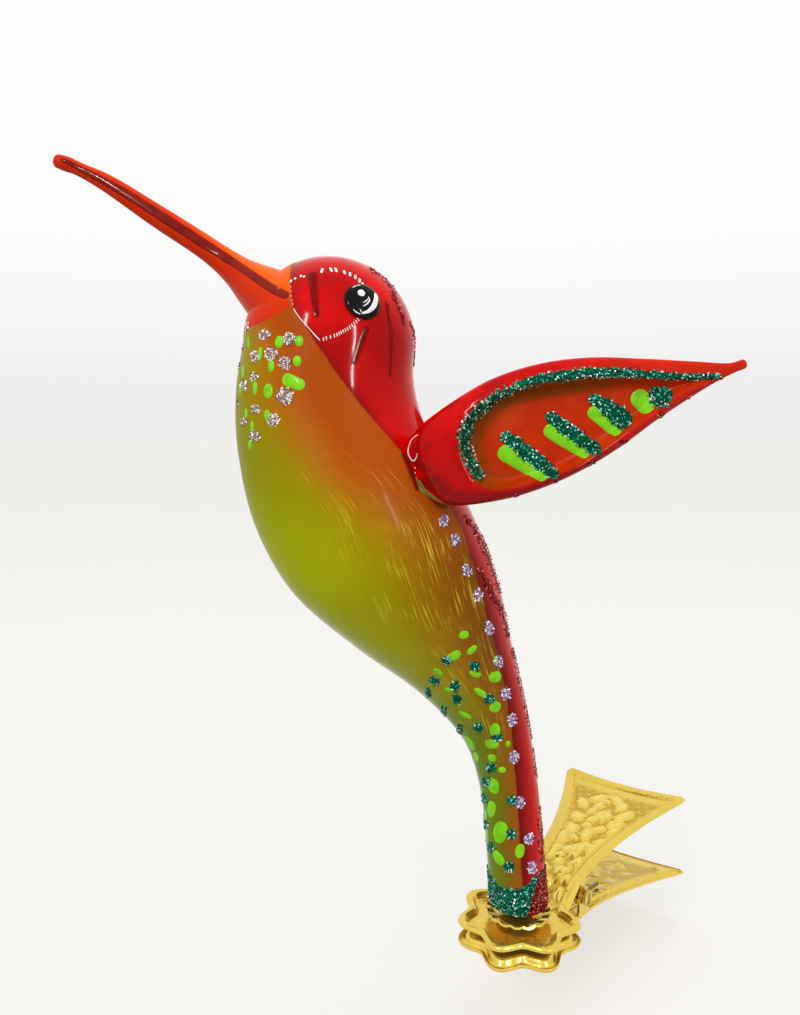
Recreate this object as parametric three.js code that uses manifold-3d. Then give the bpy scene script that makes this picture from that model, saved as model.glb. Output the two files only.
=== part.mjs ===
// Clip-on hummingbird: a blown-glass bird that stands on a brass spring clip.
// Millimetres, +Z up. The origin is the centre of the upper jaw's flat underside, on the axis of
// the bird's tail tube. The bird looks along -X and its left side is -Y.

import * as THREE from "three";
import { mergeVertices } from "three/addons/utils/BufferGeometryUtils.js";
import Module from "manifold-3d";

const wasm = await Module();
wasm.setup();

// Driving dimensions: glass

const SEAT_GAP = 0.3; // air between two pieces that touch on the real ornament
const GLASS_WALL = 1.0; // body wall
const WING_WALL = 0.9;
const BODY_SEGMENTS = 28;
const HEAD_RADIUS = 15.9;
const HEAD_HEIGHT = 112.8; // of its centre
const HEAD_CENTRE = [-36.5, HEAD_HEIGHT]; // x, z
const HEAD_RINGS = 7;
const BODY_RINGS = 17;
const TAIL_FOOT = 4.6; // height of the tube's lower end
const TAIL_RADIUS = 5.7;
const MOUTH_RADIUS = 4.0; // the foot is drawn in to this bore
const MOUTH_LENGTH = 1.4;

// Front and back of the body below the head, level by level down to the tail, as x and as
// share of the head's height.
const FRONT_LINE = [
  [-53.9, 0.9184],
  [-53.6, 0.8200],
  [-50.6, 0.7004],
  [-43.6, 0.5878],
  [-32.0, 0.4956],
  [-20.2, 0.4184],
  [-11.6, 0.3369],
  [-7.9, 0.2482],
  [-6.5, 0.1418],
];
const BACK_LINE = [
  [-20.8, 0.9397],
  [-18.6, 0.8644],
  [-13.8, 0.7872],
  [-9.4, 0.7145],
  [-5.0, 0.6161],
  [-1.9, 0.4965],
  [0.9, 0.3901],
  [3.2, 0.2660],
  [4.7, 0.1418],
];
const SIDE_ROUNDNESS = [0.86, 0.88, 0.9, 0.91, 0.92, 0.94, 0.97, 1.0, 1.0]; // width over depth

// Driving dimensions: beak. Its foot is the point of the head's outline at this angle. The rows
// run from the tip to the root: x and z from that foot, half height and half width.

const BEAK_ANGLE = 144.6;
const BEAK_LINE = [
  [-36.3, 23.8, 1.25, 1.25],
  [-34.7, 23.3, 1.35, 1.35],
  [-32.3, 22.3, 1.25, 1.2],
  [-27.0, 19.6, 1.65, 1.45],
  [-18.7, 14.2, 2.05, 1.75],
  [-11.0, 9.0, 2.2, 1.9],
  [-6.9, 5.9, 2.4, 2.2],
  [-3.8, 3.2, 3, 3.5],
  [-1.4, 1.2, 4, 5.3],
  [1.3, -0.9, 5.2, 7.4],
  [3.7, -2.7, 5.9, 9.6],
  [6.1, -4.5, 6.3, 11.4],
];
const BEAK_ROOT_DEPTH = 2; // how far the root is carried inwards before the head cuts it
const BEAK_TIP = 0.9; // how far the rounded tip stands in front of the line's start
const BEAK_SEGMENTS = 16;
const BEAK_RINGS = 22;

// Driving dimensions: wings. Along the wing from the shoulder: place, upper edge, lower edge,
// thickness, and how far the section is drawn in towards the body.

const WING_LEVEL = 0.8156; // of the shoulder, as share of the head's height
const WING_ROOT = [-17.0, -12.5, WING_LEVEL * HEAD_HEIGHT];
const WING_SPAN = [48.4, -9.5, 15.1]; // from root to tip
const WING_SECTIONS = [
  [-9, 3.2, -4.6, 5.6, 4.6],
  [-4, 4.6, -6.6, 6.4, 2.6],
  [0, 6.6, -8.6, 7.6, 1.0],
  [6, 8.6, -9.8, 8.2, 0.1],
  [13, 10.1, -10.2, 7.6, 0],
  [21, 10.1, -9.4, 6.8, 0],
  [29, 8.6, -7.4, 5.8, 0],
  [37, 5.8, -4.4, 4.6, 0],
  [45, 2.7, -1.9, 3.2, 0],
  [49.4, 1.0, -0.9, 1.9, 0],
  [51.6, 0.9, -0.7, 1.6, 0],
];
const WING_RINGS = 17;
const WING_CORE_RINGS = 9; // of its hollow
const WING_SIDES = 16;
const PANEL_START = 7; // the pressed panel begins here along the wing
const PANEL_FULL = 13;
const PANEL_DEPTH = 0.95; // share of half the thickness that the panel is pressed in
const PANEL_RIM = 0.17; // share of the chord taken by the rim beside the panel
const WING_END = 0.6; // how far the rounded tip stands out
const CORE_END = 1; // the same for the hollow

// Driving dimensions: eyes

const EYE_PLACE = [0.421, 0.371]; // behind and above the head's centre, as share of its radius
const EYE_RADIUS = 3.0;
const EYE_PROUD = 1.0;
const EYE_DEPTH = 2; // how far it is sunk before the head cuts it
const EYE_STEPS = 5;
const EYE_SIDES = 20;

// Driving dimensions: clip halves

const CLIP_TURN = 52.5; // degrees from +X to the clip's handles, seen from above
const SHEET = 0.6;
const JAW_GAP = 0.3; // air between the flat jaws when the clip is shut
const PETALS = 7; // the neck takes the place of two
const FLOWER_RADIUS = 10.4; // to the middle of the rolled rim
const PETAL_RISE = 1.05;
const PETAL_TURN = 34.5; // degrees from the handle to the first petal
const FLOOR_EDGE = 1.8; // the flat floor ends this far inside the rim
const FLOOR_STEPS = 56;
const RIM_HEIGHT = 1.9;
const RIM_BEAD = 0.6; // half the width of the rim's rolled edge
const RIM_STEPS = 46;
const NECK_ANGLE = 31; // half the angle in which the neck takes the rim's place
const NECK_START = 4.5;
const NECK_BEND = 8.5; // the sheet leaves the jaw's plane here
const NECK_TOP = 15.5; // and reaches the handle's slope here
const NECK_LIFT = 3.1;
const NECK_HALF = 6.4;
const HANDLE_REACH = 54.5; // from the flower's centre to the handle's tips
const HANDLE_SLOPE = 9; // degrees
const HANDLE_HALF = 15.8;
const HANDLE_FLARE = 1.8; // power of the curve between neck and tips
const END_SAG = 2.0; // hollow of the handle's end edge
const BORDER_HEIGHT = 0.9; // raised edge of the handle
const BORDER_WIDTH = 2.1;
const BORDER_FROM_EDGE = [0, 0.5, 1.3, BORDER_WIDTH];
const BORDER_RISE = [0.2, 1, 1, 0]; // share of its height at these places
const CORNER_CUT = [1.3, 0.45, 0.1, 0]; // rounds the tips
const PLAIN_PLACES = [-0.6, 0, 0.6]; // across the plain field, as share of its half width
const HANDLE_STEPS = 15;

// Driving dimensions: hinge, springs, seat

const JAW_PARTED = 2.5; // degrees that the jaws stand open
const PIN_AT = 16.5; // from the flower's centre
const PIN_RADIUS = 0.9;
const PIN_HEAD = 1.6;
const PIN_HEAD_THICK = 0.6;
const EAR_RADIUS = 1.9;
const EAR_HALF = 2.6; // half width of an ear where it leaves the sheet
const EAR_ROOT = 0.78; // how far it goes up into the raised border
const EAR_CLEARANCE = 0.3;
const EAR_FROM_EDGE = 0.2; // middle of the lower half's ears, inside the neck's edge
const TORSION_COIL = 1.8; // to the middle of the wire
const TORSION_WIRE = 0.4;
const TORSION_TURNS = 5;
const TORSION_SIDE_AIR = 1.1; // between the coil's ends and the ears
const TORSION_LEG = 14;
const ANCHOR_COIL = 3.2;
const ANCHOR_WIRE = 0.4;
const ANCHOR_TURNS = 6;
const ANCHOR_PITCH = 1.75;
const SPRING_STEPS = 8; // per turn
const SPRING_SIDES = 5;
const RIVET_SHANK = 1.2;
const RIVET_HEAD = 2.1;
const RIVET_HEAD_THICK = 0.5;
const RIVET_FOOT_THICK = 0.3;
const CROWN_SHEET = 0.35;
const CROWN_FLOOR_RADIUS = 4.5;
const CROWN_RADIUS = 6.4;
const CROWN_HEIGHT = 1.15; // of the teeth above the crown's floor
const CROWN_TEETH = 16;
const CROWN_RUN = 0.7; // from the floor's edge outwards to the wall's middle
const TOOTH_HEIGHT = 0.45;

const ROUND = 24; // sides of a turned piece

// Sizes that follow

const radians = THREE.MathUtils.degToRad;
const PIN_HEIGHT = -JAW_GAP / 2;
const LOWER_EAR_AT = NECK_HALF - EAR_FROM_EDGE;
const UPPER_EAR_AT = LOWER_EAR_AT - SHEET - EAR_CLEARANCE;
const TORSION_HALF_LENGTH = UPPER_EAR_AT - SHEET / 2 - TORSION_WIRE - TORSION_SIDE_AIR;
const DIMPLE_DEPTH = RIVET_FOOT_THICK + SEAT_GAP;
const RIVET_HOLE = RIVET_SHANK + SEAT_GAP;
const DIMPLE_RADIUS = RIVET_HEAD + SEAT_GAP;
const CROWN_FLOOR = DIMPLE_DEPTH + SHEET + SEAT_GAP;
const RIVET_HEAD_FLOOR = CROWN_FLOOR + CROWN_SHEET + SEAT_GAP;
const ANCHOR_BOTTOM = CROWN_FLOOR + CROWN_SHEET + SEAT_GAP + ANCHOR_WIRE;

// Materials

function material(color, roughness, metalness = 0) {
  return new THREE.MeshStandardMaterial({ color, roughness, metalness });
}

const RED_GLASS = material(0xc41310, 0.12);
const BEAK_GLASS = material(0xd9400f, 0.45);
const EYE_ENAMEL = material(0x0a0a0c, 0.08);
const BRASS = material(0xc9a24a, 0.3, 0.9);
const STEEL = material(0x8d8577, 0.35, 0.9);
const COPPER = material(0x8a5a34, 0.4, 0.8);

// Mesh helpers

function facingOut(geometry) {
  const index = geometry.index.array;
  const at = geometry.attributes.position;
  const [a, b, c] = [new THREE.Vector3(), new THREE.Vector3(), new THREE.Vector3()];
  let volume = 0;
  for (let i = 0; i < index.length; i += 3) {
    a.fromBufferAttribute(at, index[i]);
    b.fromBufferAttribute(at, index[i + 1]);
    c.fromBufferAttribute(at, index[i + 2]);
    volume += a.dot(b.cross(c));
  }
  if (volume < 0) {
    for (let i = 0; i < index.length; i += 3) {
      [index[i + 1], index[i + 2]] = [index[i + 2], index[i + 1]];
    }
  }
  geometry.computeVertexNormals();
  return geometry;
}

// A closed skin over a row of rings with equal counts of points. Each end closes on a point.
function loft(rings, firstPoint, lastPoint) {
  const count = rings[0].length;
  const points = [firstPoint, ...rings.flat(), lastPoint];
  const last = points.length - 1;
  const index = [];
  for (let k = 0; k < count; k++) {
    const next = (k + 1) % count;
    index.push(0, 1 + next, 1 + k);
    for (let i = 0; i + 1 < rings.length; i++) {
      const here = 1 + i * count;
      const there = here + count;
      index.push(here + k, here + next, there + next);
      index.push(here + k, there + next, there + k);
    }
    index.push(last, last - count + k, last - count + next);
  }
  const geometry = new THREE.BufferGeometry().setFromPoints(points);
  geometry.setIndex(index);
  return facingOut(geometry);
}

// A closed sheet between two grids of points, each a row of equal rows.
function slab(top, bottom) {
  const rows = top.length;
  const columns = top[0].length;
  const points = [...top.flat(), ...bottom.flat()];
  const below = rows * columns;
  const index = [];
  const quad = (a, b, c, d) => index.push(a, b, c, a, c, d);
  for (let i = 0; i + 1 < rows; i++) {
    for (let j = 0; j + 1 < columns; j++) {
      const a = i * columns + j;
      quad(a, a + columns, a + columns + 1, a + 1);
      quad(below + a, below + a + 1, below + a + columns + 1, below + a + columns);
    }
    const left = i * columns;
    const right = left + columns - 1;
    quad(left, below + left, below + left + columns, left + columns);
    quad(right, right + columns, below + right + columns, below + right);
  }
  for (let j = 0; j + 1 < columns; j++) {
    const far = (rows - 1) * columns + j;
    quad(j, j + 1, below + j + 1, below + j);
    quad(far, below + far, below + far + 1, far + 1);
  }
  const geometry = new THREE.BufferGeometry().setFromPoints(points);
  geometry.setIndex(index);
  return facingOut(geometry);
}

function solid(geometry) {
  const bare = geometry.clone();
  bare.deleteAttribute("normal");
  bare.deleteAttribute("uv");
  const merged = mergeVertices(bare, 1e-4);
  const mesh = new wasm.Mesh({
    numProp: 3,
    vertProperties: new Float32Array(merged.attributes.position.array),
    triVerts: new Uint32Array(merged.index.array),
  });
  return new wasm.Manifold(mesh);
}

function skinOf(body) {
  const mesh = body.getMesh();
  const geometry = new THREE.BufferGeometry();
  geometry.setAttribute("position", new THREE.BufferAttribute(mesh.vertProperties, 3));
  geometry.setIndex(new THREE.BufferAttribute(mesh.triVerts, 1));
  geometry.computeVertexNormals();
  return geometry;
}

function joined(geometries) {
  return geometries.map(solid).reduce((whole, piece) => whole.add(piece));
}

// A tube of round section along a list of points, closed at both ends.
function wire(points, radius) {
  const rings = [];
  const tangent = new THREE.Vector3();
  const across = new THREE.Vector3();
  const up = new THREE.Vector3();
  let lastAcross = null;
  points.forEach((point, i) => {
    const before = points[Math.max(i - 1, 0)];
    const after = points[Math.min(i + 1, points.length - 1)];
    tangent.subVectors(after, before).normalize();
    if (lastAcross === null) {
      lastAcross = new THREE.Vector3(0.31, 0.55, 0.77).cross(tangent).normalize();
    }
    across.copy(lastAcross).addScaledVector(tangent, -lastAcross.dot(tangent)).normalize();
    lastAcross = across.clone();
    up.crossVectors(tangent, across);
    const ring = [];
    for (let k = 0; k < SPRING_SIDES; k++) {
      const angle = (2 * Math.PI * k) / SPRING_SIDES;
      const spot = point.clone().addScaledVector(across, radius * Math.cos(angle));
      ring.push(spot.addScaledVector(up, radius * Math.sin(angle)));
    }
    rings.push(ring);
  });
  return loft(rings, points[0], points[points.length - 1]);
}

// The least air between a wire and itself, measured on its middle line.
function leastGap(points, radius, apart) {
  let least = Infinity;
  for (let i = 0; i < points.length; i++) {
    for (let j = i + apart; j < points.length; j++) {
      least = Math.min(least, points[i].distanceTo(points[j]));
    }
  }
  return least - 2 * radius;
}

// Body

function mixed(rows, share) {
  const place = Math.min(Math.max(share, 0), 1) * (rows.length - 1);
  const low = Math.min(Math.floor(place), rows.length - 2);
  return THREE.MathUtils.lerp(rows[low], rows[low + 1], place - low);
}

// Rings of the body's outside from the crown of the head to the foot of the tail, moved
// outwards by grow.
function bodyRings(grow) {
  const rings = [];
  const ring = (front, back, roundness) => {
    const middle = new THREE.Vector2().addVectors(front, back).multiplyScalar(0.5);
    const half = new THREE.Vector2().subVectors(back, front).multiplyScalar(0.5);
    const depth = half.length();
    half.setLength(depth + grow);
    const points = [];
    for (let k = 0; k < BODY_SEGMENTS; k++) {
      const angle = (2 * Math.PI * k) / BODY_SEGMENTS;
      const along = Math.cos(angle);
      const side = (depth * roundness + grow) * Math.sin(angle);
      points.push(new THREE.Vector3(middle.x + half.x * along, side, middle.y + half.y * along));
    }
    rings.push(points);
  };
  const [centreX, centreZ] = HEAD_CENTRE;
  for (let i = 1; i <= HEAD_RINGS; i++) {
    const angle = (0.5 * Math.PI * i) / HEAD_RINGS;
    const reach = HEAD_RADIUS * Math.sin(angle);
    const height = centreZ + (HEAD_RADIUS + grow) * Math.cos(angle);
    const front = new THREE.Vector2(centreX - reach, height);
    const back = new THREE.Vector2(centreX + reach, height);
    ring(front, back, SIDE_ROUNDNESS[0]);
  }
  const belowHead = ([x, share]) => new THREE.Vector2(x, share * HEAD_HEIGHT);
  const frontStart = new THREE.Vector2(centreX - HEAD_RADIUS, centreZ);
  const backStart = new THREE.Vector2(centreX + HEAD_RADIUS, centreZ);
  const footFront = new THREE.Vector2(-TAIL_RADIUS, TAIL_FOOT);
  const footBack = new THREE.Vector2(TAIL_RADIUS, TAIL_FOOT);
  const front = new THREE.SplineCurve([frontStart, ...FRONT_LINE.map(belowHead), footFront]);
  const back = new THREE.SplineCurve([backStart, ...BACK_LINE.map(belowHead), footBack]);
  const roundness = [SIDE_ROUNDNESS[0], ...SIDE_ROUNDNESS, 1];
  for (let i = 1; i <= BODY_RINGS; i++) {
    const share = i / BODY_RINGS;
    ring(front.getPoint(share), back.getPoint(share), mixed(roundness, share));
  }
  return rings;
}

function crownOfHead(grow) {
  return new THREE.Vector3(HEAD_CENTRE[0], 0, HEAD_CENTRE[1] + HEAD_RADIUS + grow);
}

// The body's outside as one filled solid, used to seat what stands on the glass.
function bodyForm(grow) {
  const foot = new THREE.Vector3(0, 0, TAIL_FOOT);
  return solid(loft(bodyRings(grow), crownOfHead(grow), foot));
}

function mouthRing(height, radius) {
  const points = [];
  for (let k = 0; k < BODY_SEGMENTS; k++) {
    const angle = (2 * Math.PI * k) / BODY_SEGMENTS;
    points.push(new THREE.Vector3(radius * Math.cos(angle), radius * Math.sin(angle), height));
  }
  return points;
}

function bodyShell() {
  const outside = bodyRings(0);
  const inside = bodyRings(-GLASS_WALL).filter((ring, i) => i % 2 === 0 && i < BODY_RINGS + 5);
  const bore = TAIL_RADIUS - GLASS_WALL;
  const mouth = [
    mouthRing(TAIL_FOOT, MOUTH_RADIUS),
    mouthRing(TAIL_FOOT + MOUTH_LENGTH, MOUTH_RADIUS),
    mouthRing(TAIL_FOOT + MOUTH_LENGTH + 1, bore),
  ];
  const rings = [...outside, ...mouth, ...inside.reverse()];
  return loft(rings, crownOfHead(0), crownOfHead(-GLASS_WALL));
}

// Beak

function beak() {
  const foot = new THREE.Vector2(HEAD_RADIUS, 0).rotateAround(new THREE.Vector2(), radians(BEAK_ANGLE));
  foot.add(new THREE.Vector2(...HEAD_CENTRE));
  const line = BEAK_LINE.map(([x, z]) => new THREE.Vector2(x, z).add(foot));
  const root = line[line.length - 1];
  const inwards = new THREE.Vector2(...HEAD_CENTRE).sub(root).setLength(BEAK_ROOT_DEPTH);
  line.push(root.clone().add(inwards));
  const heights = BEAK_LINE.map((row) => row[2]);
  const widths = BEAK_LINE.map((row) => row[3]);
  heights.push(heights[heights.length - 1]);
  widths.push(widths[widths.length - 1]);
  const spine = new THREE.SplineCurve(line);
  const rings = [];
  for (let i = 0; i <= BEAK_RINGS; i++) {
    const share = i / BEAK_RINGS;
    const at = spine.getPoint(share);
    const along = spine.getTangent(share);
    const ring = [];
    for (let k = 0; k < BEAK_SEGMENTS; k++) {
      const angle = (2 * Math.PI * k) / BEAK_SEGMENTS;
      const up = mixed(heights, share) * Math.cos(angle);
      const side = mixed(widths, share) * Math.sin(angle);
      ring.push(new THREE.Vector3(at.x - along.y * up, side, at.y + along.x * up));
    }
    rings.push(ring);
  }
  const forwards = spine.getTangent(0).multiplyScalar(-BEAK_TIP);
  const tip = new THREE.Vector3(line[0].x + forwards.x, 0, line[0].y + forwards.y);
  const end = spine.getPoint(1);
  const whole = solid(loft(rings, tip, new THREE.Vector3(end.x, 0, end.y)));
  return skinOf(whole.subtract(bodyForm(SEAT_GAP)));
}

// Wings

// One closed form of the wing; inset draws it in by that much on every side.
function wingForm(inset) {
  const root = new THREE.Vector3(...WING_ROOT);
  const span = new THREE.Vector3(...WING_SPAN);
  const along = span.clone().normalize();
  const up = new THREE.Vector3(0, 0, 1).addScaledVector(along, -along.z).normalize();
  const outwards = new THREE.Vector3().crossVectors(along, up);
  const facing = outwards.y < 0 ? 1 : -1;
  outwards.multiplyScalar(facing);
  const rows = WING_SECTIONS;
  const first = rows[0][0];
  const hollow = inset > 0;
  const reach = rows[rows.length - (hollow ? 4 : 1)][0] - first;
  const count = hollow ? WING_CORE_RINGS : WING_RINGS;
  const curves = [1, 2, 3, 4].map(
    (column) => new THREE.SplineCurve(rows.map((row) => new THREE.Vector2(row[0], row[column]))),
  );
  const height = (curve, place) => {
    let [low, high] = [0, 1];
    for (let i = 0; i < 24; i++) {
      const middle = (low + high) / 2;
      if (curve.getPoint(middle).x < place) {
        low = middle;
      } else {
        high = middle;
      }
    }
    return curve.getPoint(low).y;
  };
  const rings = [];
  for (let i = 0; i < count; i++) {
    const place = first + (reach * i) / (count - 1);
    const [top, bottom, thick, drawn] = curves.map((curve) => height(curve, place));
    const pressed = PANEL_DEPTH * THREE.MathUtils.smoothstep(place, PANEL_START, PANEL_FULL);
    const half = thick / 2 - inset;
    const ring = [];
    for (let k = 0; k < WING_SIDES; k++) {
      const angle = (2 * Math.PI * k) / WING_SIDES;
      const chord = (1 + Math.cos(angle)) / 2;
      const across = bottom + inset + (top - bottom - 2 * inset) * chord;
      const fromEdge = Math.min(chord, 1 - chord);
      const dip = pressed * THREE.MathUtils.smoothstep(fromEdge, PANEL_RIM / 2, PANEL_RIM);
      const round = Math.sin(angle);
      const face = Math.sqrt(Math.max(round, 0));
      const out = round > 0 ? (thick / 2) * (face - dip) - inset * face : half * round;
      const spot = root.clone().addScaledVector(along, place).addScaledVector(up, across);
      spot.addScaledVector(outwards, out);
      spot.y += drawn;
      ring.push(spot);
    }
    rings.push(ring);
  }
  const start = root.clone().addScaledVector(along, first);
  start.y += rows[0][4];
  start.addScaledVector(up, (rows[0][1] + rows[0][2]) / 2);
  const past = hollow ? first + reach + CORE_END : span.length() + WING_END;
  const end = root.clone().addScaledVector(along, past);
  return loft(rings, start, end);
}

function wing() {
  const whole = solid(wingForm(0)).subtract(solid(wingForm(WING_WALL)));
  return skinOf(whole.subtract(bodyForm(SEAT_GAP)));
}

function mirrored(geometry) {
  const other = geometry.clone();
  other.scale(1, -1, 1);
  return facingOut(other);
}

// Eyes

function eye() {
  const [centreX, centreZ] = HEAD_CENTRE;
  const x = centreX + HEAD_RADIUS * EYE_PLACE[0];
  const z = centreZ + HEAD_RADIUS * EYE_PLACE[1];
  const flat = ((x - centreX) ** 2 + (z - centreZ) ** 2) / HEAD_RADIUS ** 2;
  const y = -HEAD_RADIUS * SIDE_ROUNDNESS[0] * Math.sqrt(1 - flat);
  const outwards = new THREE.Vector3(x - centreX, y / SIDE_ROUNDNESS[0] ** 2, z - centreZ);
  outwards.normalize();
  const profile = [new THREE.Vector2(0, -EYE_DEPTH), new THREE.Vector2(EYE_RADIUS, -EYE_DEPTH)];
  for (let i = 0; i < EYE_STEPS; i++) {
    const angle = (0.5 * Math.PI * i) / EYE_STEPS;
    profile.push(new THREE.Vector2(EYE_RADIUS * Math.cos(angle), EYE_PROUD * Math.sin(angle)));
  }
  profile.push(new THREE.Vector2(0, EYE_PROUD));
  const drop = new THREE.LatheGeometry(profile, EYE_SIDES);
  const turn = new THREE.Quaternion().setFromUnitVectors(new THREE.Vector3(0, 1, 0), outwards);
  drop.applyQuaternion(turn);
  drop.translate(x, y, z);
  return skinOf(solid(facingOut(drop)).subtract(bodyForm(SEAT_GAP)));
}

// Clip halves, built with the handle along +X, jaw plane at z = 0 and the rim upwards. The hand
// is 1 or -1: the petals of the two halves lie over each other when the clip is shut.

function petal(angle, offset, hand) {
  const wave = Math.cos(PETALS * (angle - hand * radians(PETAL_TURN)));
  return FLOWER_RADIUS + PETAL_RISE * wave + offset;
}

function jawFloor(hand) {
  const outline = [];
  for (let i = 0; i < FLOOR_STEPS; i++) {
    const angle = (2 * Math.PI * i) / FLOOR_STEPS;
    const reach = petal(angle, -FLOOR_EDGE, hand);
    outline.push(new THREE.Vector2(reach * Math.cos(angle), reach * Math.sin(angle)));
  }
  return new THREE.ExtrudeGeometry(new THREE.Shape(outline), {
    depth: SHEET,
    bevelEnabled: false,
  });
}

// The rim's section as distance from the middle of its rolled edge, and height.
const RIM_SECTION = [
  [-2.2, 0],
  [-2 * RIM_BEAD, 0],
  [-0.65, 0.6],
  [-0.5, RIM_HEIGHT - 2 * RIM_BEAD],
  [0.6 * RIM_BEAD, RIM_HEIGHT - 1.8 * RIM_BEAD],
  [RIM_BEAD, RIM_HEIGHT - 0.9 * RIM_BEAD],
  [0.2 * RIM_BEAD, RIM_HEIGHT],
  [-1.1 * RIM_BEAD, RIM_HEIGHT - 0.2 * RIM_BEAD],
  [-1.8 * RIM_BEAD, RIM_HEIGHT - 1.6 * RIM_BEAD],
  [-1.35, SHEET + 0.2],
  [-2.2, SHEET],
];

function jawRim(hand) {
  const from = radians(NECK_ANGLE);
  const rings = [];
  for (let i = 0; i <= RIM_STEPS; i++) {
    const angle = from + ((2 * Math.PI - 2 * from) * i) / RIM_STEPS;
    rings.push(
      RIM_SECTION.map(([offset, height]) => {
        const reach = petal(angle, offset, hand);
        return new THREE.Vector3(reach * Math.cos(angle), reach * Math.sin(angle), height);
      }),
    );
  }
  const middle = (ring) => {
    const low = ring[2];
    const high = ring[ring.length - 2];
    return low.clone().add(high).multiplyScalar(0.5);
  };
  return loft(rings, middle(rings[0]), middle(rings[rings.length - 1]));
}

// Height of the sheet's underside along the clip.
function sheetLift(along) {
  const bend = THREE.MathUtils.smoothstep(along, NECK_BEND, NECK_TOP) * NECK_LIFT;
  const past = Math.max(along - NECK_TOP, 0);
  return bend + past * Math.tan(radians(HANDLE_SLOPE));
}

function handleHalf(along) {
  const share = Math.max(along - PIN_AT, 0) / (HANDLE_REACH - PIN_AT);
  return NECK_HALF + (HANDLE_HALF - NECK_HALF) * share ** HANDLE_FLARE;
}

function handle() {
  const border = BORDER_FROM_EDGE;
  const rise = BORDER_RISE.map((share) => share * BORDER_HEIGHT);
  const plain = HANDLE_STEPS - border.length;
  const top = [];
  const bottom = [];
  for (let i = 0; i < HANDLE_STEPS; i++) {
    const fromEnd = HANDLE_STEPS - 1 - i;
    const nearEnd = fromEnd < border.length;
    const inset = nearEnd ? border[fromEnd] : BORDER_WIDTH;
    const cut = nearEnd ? CORNER_CUT[fromEnd] : 0;
    const endRise = nearEnd ? rise[fromEnd] : 0;
    const share = Math.min(i / plain, 1);
    const nominal = NECK_START + (HANDLE_REACH - BORDER_WIDTH - NECK_START) * share;
    const reach = nearEnd ? HANDLE_REACH - inset : nominal;
    const half = handleHalf(reach) - cut;
    const rowTop = [];
    const rowBottom = [];
    const onNeck = 1 - THREE.MathUtils.smoothstep(reach, NECK_BEND, NECK_TOP);
    const neckRise = (RIM_HEIGHT - SHEET) / BORDER_HEIGHT - 1;
    const started = THREE.MathUtils.smoothstep(reach, NECK_START, NECK_BEND);
    const sideShare = started * (1 + neckRise * onNeck);
    const put = (across, sideRise) => {
      const hollow = END_SAG * share ** 3 * (1 - (across / HANDLE_HALF) ** 2);
      const along = reach - hollow;
      const lift = sheetLift(along);
      const high = Math.max(sideRise * sideShare, endRise);
      rowTop.push(new THREE.Vector3(along, across, lift + SHEET + high));
      rowBottom.push(new THREE.Vector3(along, across, lift + high * 0.7));
    };
    border.forEach((inner, k) => put(-half + inner, rise[k]));
    PLAIN_PLACES.forEach((place) => put((half - BORDER_WIDTH) * place, 0));
    [...border.keys()].reverse().forEach((k) => put(half - border[k], rise[k]));
    top.push(rowTop);
    bottom.push(rowBottom);
  }
  return slab(top, bottom);
}

function ear(side) {
  const outline = new THREE.Shape();
  const root = (along) => sheetLift(along) + EAR_ROOT;
  outline.moveTo(PIN_AT + EAR_HALF, root(PIN_AT + EAR_HALF));
  outline.lineTo(PIN_AT - EAR_HALF, root(PIN_AT - EAR_HALF));
  outline.lineTo(PIN_AT - EAR_RADIUS, PIN_HEIGHT);
  outline.absarc(PIN_AT, PIN_HEIGHT, EAR_RADIUS, Math.PI, 2 * Math.PI, false);
  outline.closePath();
  const hole = new THREE.Path();
  hole.absarc(PIN_AT, PIN_HEIGHT, PIN_RADIUS + EAR_CLEARANCE, 0, 2 * Math.PI, true);
  outline.holes.push(hole);
  const plate = new THREE.ExtrudeGeometry(outline, {
    depth: SHEET,
    bevelEnabled: false,
    curveSegments: 8,
  });
  plate.rotateX(Math.PI / 2);
  plate.translate(0, side + SHEET / 2, 0);
  return plate;
}

function upright(radius, low, high) {
  const turned = new THREE.CylinderGeometry(radius, radius, high - low, ROUND);
  turned.rotateX(Math.PI / 2);
  turned.translate(0, 0, (low + high) / 2);
  return turned;
}

function clipHalf(earAt, hand, riveted) {
  const sheet = [jawFloor(hand), jawRim(hand), handle(), ear(earAt), ear(-earAt)];
  let half = joined(sheet);
  if (riveted) {
    half = half.add(solid(upright(DIMPLE_RADIUS + SHEET, 0, DIMPLE_DEPTH + SHEET)));
    half = half.subtract(solid(upright(DIMPLE_RADIUS, -1, DIMPLE_DEPTH)));
    half = half.subtract(solid(upright(RIVET_HOLE, -1, DIMPLE_DEPTH + 2 * SHEET)));
  }
  return skinOf(half);
}

// Hinge pin and torsion spring, in the clip's own directions

function lathe(profile) {
  const turned = new THREE.LatheGeometry(
    profile.map(([radius, height]) => new THREE.Vector2(radius, height)),
    ROUND,
  );
  return skinOf(solid(facingOut(turned)));
}

function hingePin() {
  const inner = LOWER_EAR_AT + SHEET / 2 + SEAT_GAP;
  const outer = inner + PIN_HEAD_THICK;
  const pin = lathe([
    [0, -outer],
    [PIN_HEAD, -outer],
    [PIN_HEAD, -inner],
    [PIN_RADIUS, -inner],
    [PIN_RADIUS, inner],
    [PIN_HEAD, inner],
    [PIN_HEAD, outer],
    [0, outer],
  ]);
  pin.translate(PIN_AT, 0, PIN_HEIGHT);
  return pin;
}

// Distance from the pin's axis to the inner face of a handle, square to the handle.
function handleStandOff() {
  const slope = radians(HANDLE_SLOPE);
  const overPin = NECK_LIFT + (PIN_AT - NECK_TOP) * Math.tan(slope) - PIN_HEIGHT;
  return overPin * Math.cos(slope);
}

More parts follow.
